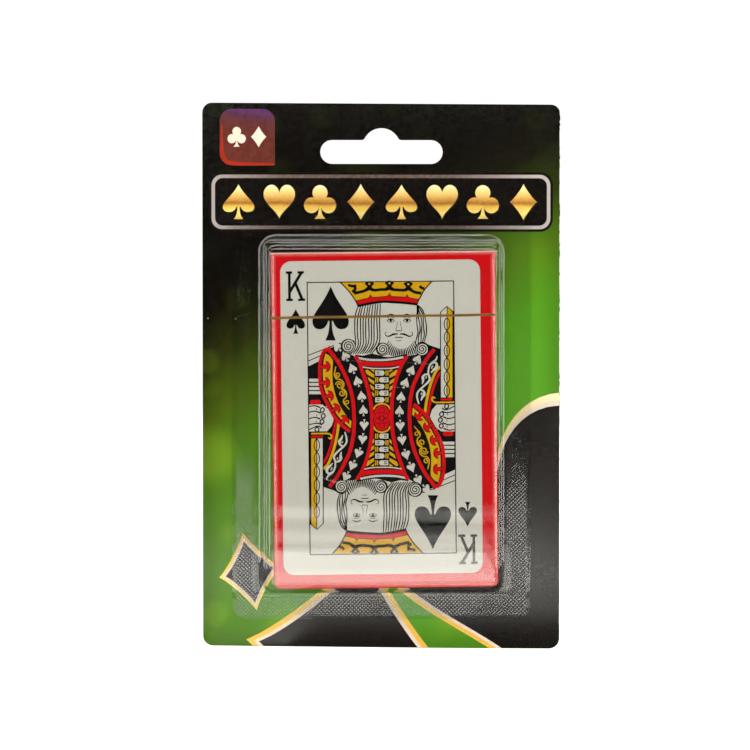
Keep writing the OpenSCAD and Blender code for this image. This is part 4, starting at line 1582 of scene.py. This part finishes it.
# ---------------------------------------------------------------- floor, light and camera
def stage_plane(name, corners, mat):
    me = bpy.data.meshes.new(name)
    me.from_pydata(corners, [], [[0, 1, 2, 3]])
    me.materials.append(mat)
    ob = bpy.data.objects.new(name, me)
    scene.collection.objects.link(ob)
    return ob


def floor_material():
    s = Shade("pale_floor")
    p = s.place()
    grain = s.noise(p, 60.0, 3.0, 0.5)
    white = s.principled(s.mix(s.span(grain, 0.3, 0.7), (0.86, 0.86, 0.86, 1.0), (0.83, 0.83, 0.83, 1.0)), 0.9, Specular_IOR_Level=0.1)
    glow = s.node("Emission")
    glow.inputs["Color"].default_value = (1.0, 1.0, 1.0, 1.0)
    glow.inputs["Strength"].default_value = 0.80
    add = s.node("AddShader")
    s.put(add.inputs[0], white)
    s.put(add.inputs[1], glow.outputs[0])
    dim = s.node("Emission")
    dim.inputs["Strength"].default_value = 0.03
    path = s.node("LightPath")
    m = s.node("MixShader")
    s.put(m.inputs[0], path.outputs["Is Glossy Ray"])
    s.put(m.inputs[1], add.outputs[0])
    s.put(m.inputs[2], dim.outputs[0])
    return s.done(m.outputs[0])


Z = CARD_BOTTOM * MM - 0.00005
stage_plane("floor", [(-5, -5, Z), (5, -5, Z), (5, 5, Z), (-5, 5, Z)], floor_material())


def reflector(name, corners, strength):
    """A bright card that shows only in gloss."""
    s = Shade(name)
    e = s.node("Emission")
    e.inputs["Color"].default_value = (1.0, 0.975, 0.91, 1.0)
    e.inputs["Strength"].default_value = strength
    s.done(e.outputs[0])
    ob = stage_plane(name, corners, s.mat)
    ob.visible_camera = False
    ob.visible_diffuse = False
    ob.visible_shadow = False
    ob.visible_transmission = False
    return ob


ZR = Z + 0.0004


def floor_strip(name, y0, y1, strength, half=0.13, skew=0.0):
    reflector(name, [(-half, y0 - skew, ZR), (half, y0 + skew, ZR), (half, y1 + skew, ZR), (-half, y1 - skew, ZR)], strength)


floor_strip("floor_card_1", -0.128, -0.078, 1.6, 0.064)
floor_strip("floor_card_2", -0.245, -0.150, 3.2, 0.072)
floor_strip("floor_card_3", -0.325, -0.245, 2.4, 0.076)
floor_strip("floor_card_4", -0.405, -0.352, 1.0, 0.085, 0.010)
floor_strip("floor_card_5", -0.530, -0.468, 1.2, 0.095, 0.012)
reflector("floor_card_corner", [(-0.075, -0.066, ZR), (-0.018, -0.066, ZR), (-0.026, -0.010, ZR), (-0.075, -0.010, ZR)], 1.2)


def around(name, phi0, phi1, strength, reach=0.25):
    """Tall glossy cards to the left and right of the front, by their angle from straight ahead."""
    c0, s0, c1, s1 = math.cos(math.radians(phi0)), math.sin(math.radians(phi0)), math.cos(math.radians(phi1)), math.sin(math.radians(phi1))
    y0, y1 = -0.017 - reach * c0, -0.017 - reach * c1
    for side, tag in ((-1, "left"), (1, "right")):
        x0, x1 = side * (0.033 + reach * s0), side * (0.033 + reach * s1)
        reflector(name + "_" + tag, [(x0, y0, ZR), (x1, y1, ZR), (x1, y1, 0.06), (x0, y0, 0.06)], strength)


def above(name, phi0, phi1, strength, reach=0.25):
    y0, y1, z0, z1 = (f(math.radians(phi)) for f, phi in ((lambda a: -0.017 - reach * math.cos(a), phi0), (lambda a: -0.017 - reach * math.cos(a), phi1),
                                                          (lambda a: -0.024 + reach * math.sin(a), phi0), (lambda a: -0.024 + reach * math.sin(a), phi1)))
    reflector(name, [(-0.052, y0, z0), (0.052, y0, z0), (0.052, y1, z1), (-0.052, y1, z1)], strength)


for tag, phi0, phi1, power in (("near", 19, 26, 7.0), ("beside", 59, 74, 6.0)):
    around("side_card_" + tag, phi0, phi1, power)
for tag, phi0, phi1, power in (("near", 19, 26, 7.0), ("over", 59, 74, 6.0)):
    above("top_card_" + tag, phi0, phi1, power)


def fan(name, phi0, phi1, psi0, psi1, strength, reach=0.25, n=8):
    """Cards that join the side cards to the one above, round the tub's upper corners."""
    for side, tag in ((-1, "left"), (1, "right")):
        rows = []
        for i in range(n + 1):
            psi = math.radians(psi0 + (psi1 - psi0) * i / n)
            for phi in (math.radians(phi0), math.radians(phi1)):
                far = reach * math.sin(phi)
                rows.append((side * (0.0328 + far * math.cos(psi)), -0.017 - reach * math.cos(phi), -0.0235 + far * math.sin(psi)))
        for i in range(n):
            a = 2 * i
            reflector("%s_%s_%d" % (name, tag, i), [rows[a], rows[a + 1], rows[a + 3], rows[a + 2]], strength)


fan("corner_card_near", 19, 26, 63, 78, 7.0, n=2)
fan("corner_card_wide", 59, 74, 21, 85, 6.0)
# a high card to the side, seen only in the slopes of the seal's lower part
reflector("seal_card", [(-0.22, -0.165, -0.006), (-0.07, -0.165, -0.006), (-0.07, -0.165, 0.040), (-0.22, -0.165, 0.040)], 4.0)

world = bpy.data.worlds.new("studio")
scene.world = world
world.use_nodes = True
wt = world.node_tree
wt.nodes.clear()
wo = wt.nodes.new("ShaderNodeOutputWorld")
bg = wt.nodes.new("ShaderNodeBackground")
lp = wt.nodes.new("ShaderNodeLightPath")
ma = wt.nodes.new("ShaderNodeMath")
ma.operation = "MULTIPLY_ADD"
wt.links.new(lp.outputs["Is Camera Ray"], ma.inputs[0])
ma.inputs[1].default_value = 0.75
ma.inputs[2].default_value = 0.30
mb = wt.nodes.new("ShaderNodeMath")
mb.operation = "MULTIPLY_ADD"
wt.links.new(lp.outputs["Is Glossy Ray"], mb.inputs[0])
mb.inputs[1].default_value = -0.28
wt.links.new(ma.outputs[0], mb.inputs[2])
wt.links.new(mb.outputs[0], bg.inputs["Strength"])
bg.inputs["Color"].default_value = (1.0, 1.0, 1.0, 1.0)
wt.links.new(bg.outputs[0], wo.inputs["Surface"])


def lamp(name, at, look, size, power, size_y=None):
    d = bpy.data.lights.new(name, "AREA")
    d.energy = power
    d.size = size
    if size_y:
        d.shape = "RECTANGLE"
        d.size_y = size_y
    o = bpy.data.objects.new(name, d)
    scene.collection.objects.link(o)
    o.location = at
    o.rotation_mode = "QUATERNION"
    o.rotation_quaternion = (Vector(look) - Vector(at)).to_track_quat("-Z", "Y")
    o.visible_camera = False
    o.visible_glossy = False
    return o


MID = (0.0, 0.0, -0.06)
lamp("key_left", (-0.85, -0.85, 0.55), MID, 0.55, 7.6)
lamp("fill_right", (0.95, -0.80, 0.30), MID, 0.55, 5.6)
lamp("top_soft", (0.0, -0.25, 1.0), MID, 0.7, 5.0, 0.4)
lamp("back_soft", (0.0, 1.1, 0.7), MID, 0.9, 7.0)

cam = bpy.data.cameras.new("camera")
cam.lens, cam.sensor_width = 140.0, 36.0
cam.clip_start, cam.clip_end = 0.01, 50.0
co = bpy.data.objects.new("camera", cam)
scene.collection.objects.link(co)
AZ, EL, DIST = math.radians(-1.2), math.radians(1.7), 0.80
TARGET = Vector((-1.78, -0.5, -61.06)) * MM
back = Vector((math.sin(AZ) * math.cos(EL), -math.cos(AZ) * math.cos(EL), math.sin(EL)))
co.location = TARGET + back * DIST
co.rotation_mode = "QUATERNION"
co.rotation_quaternion = (-back).to_track_quat("-Z", "Y")
scene.camera = co
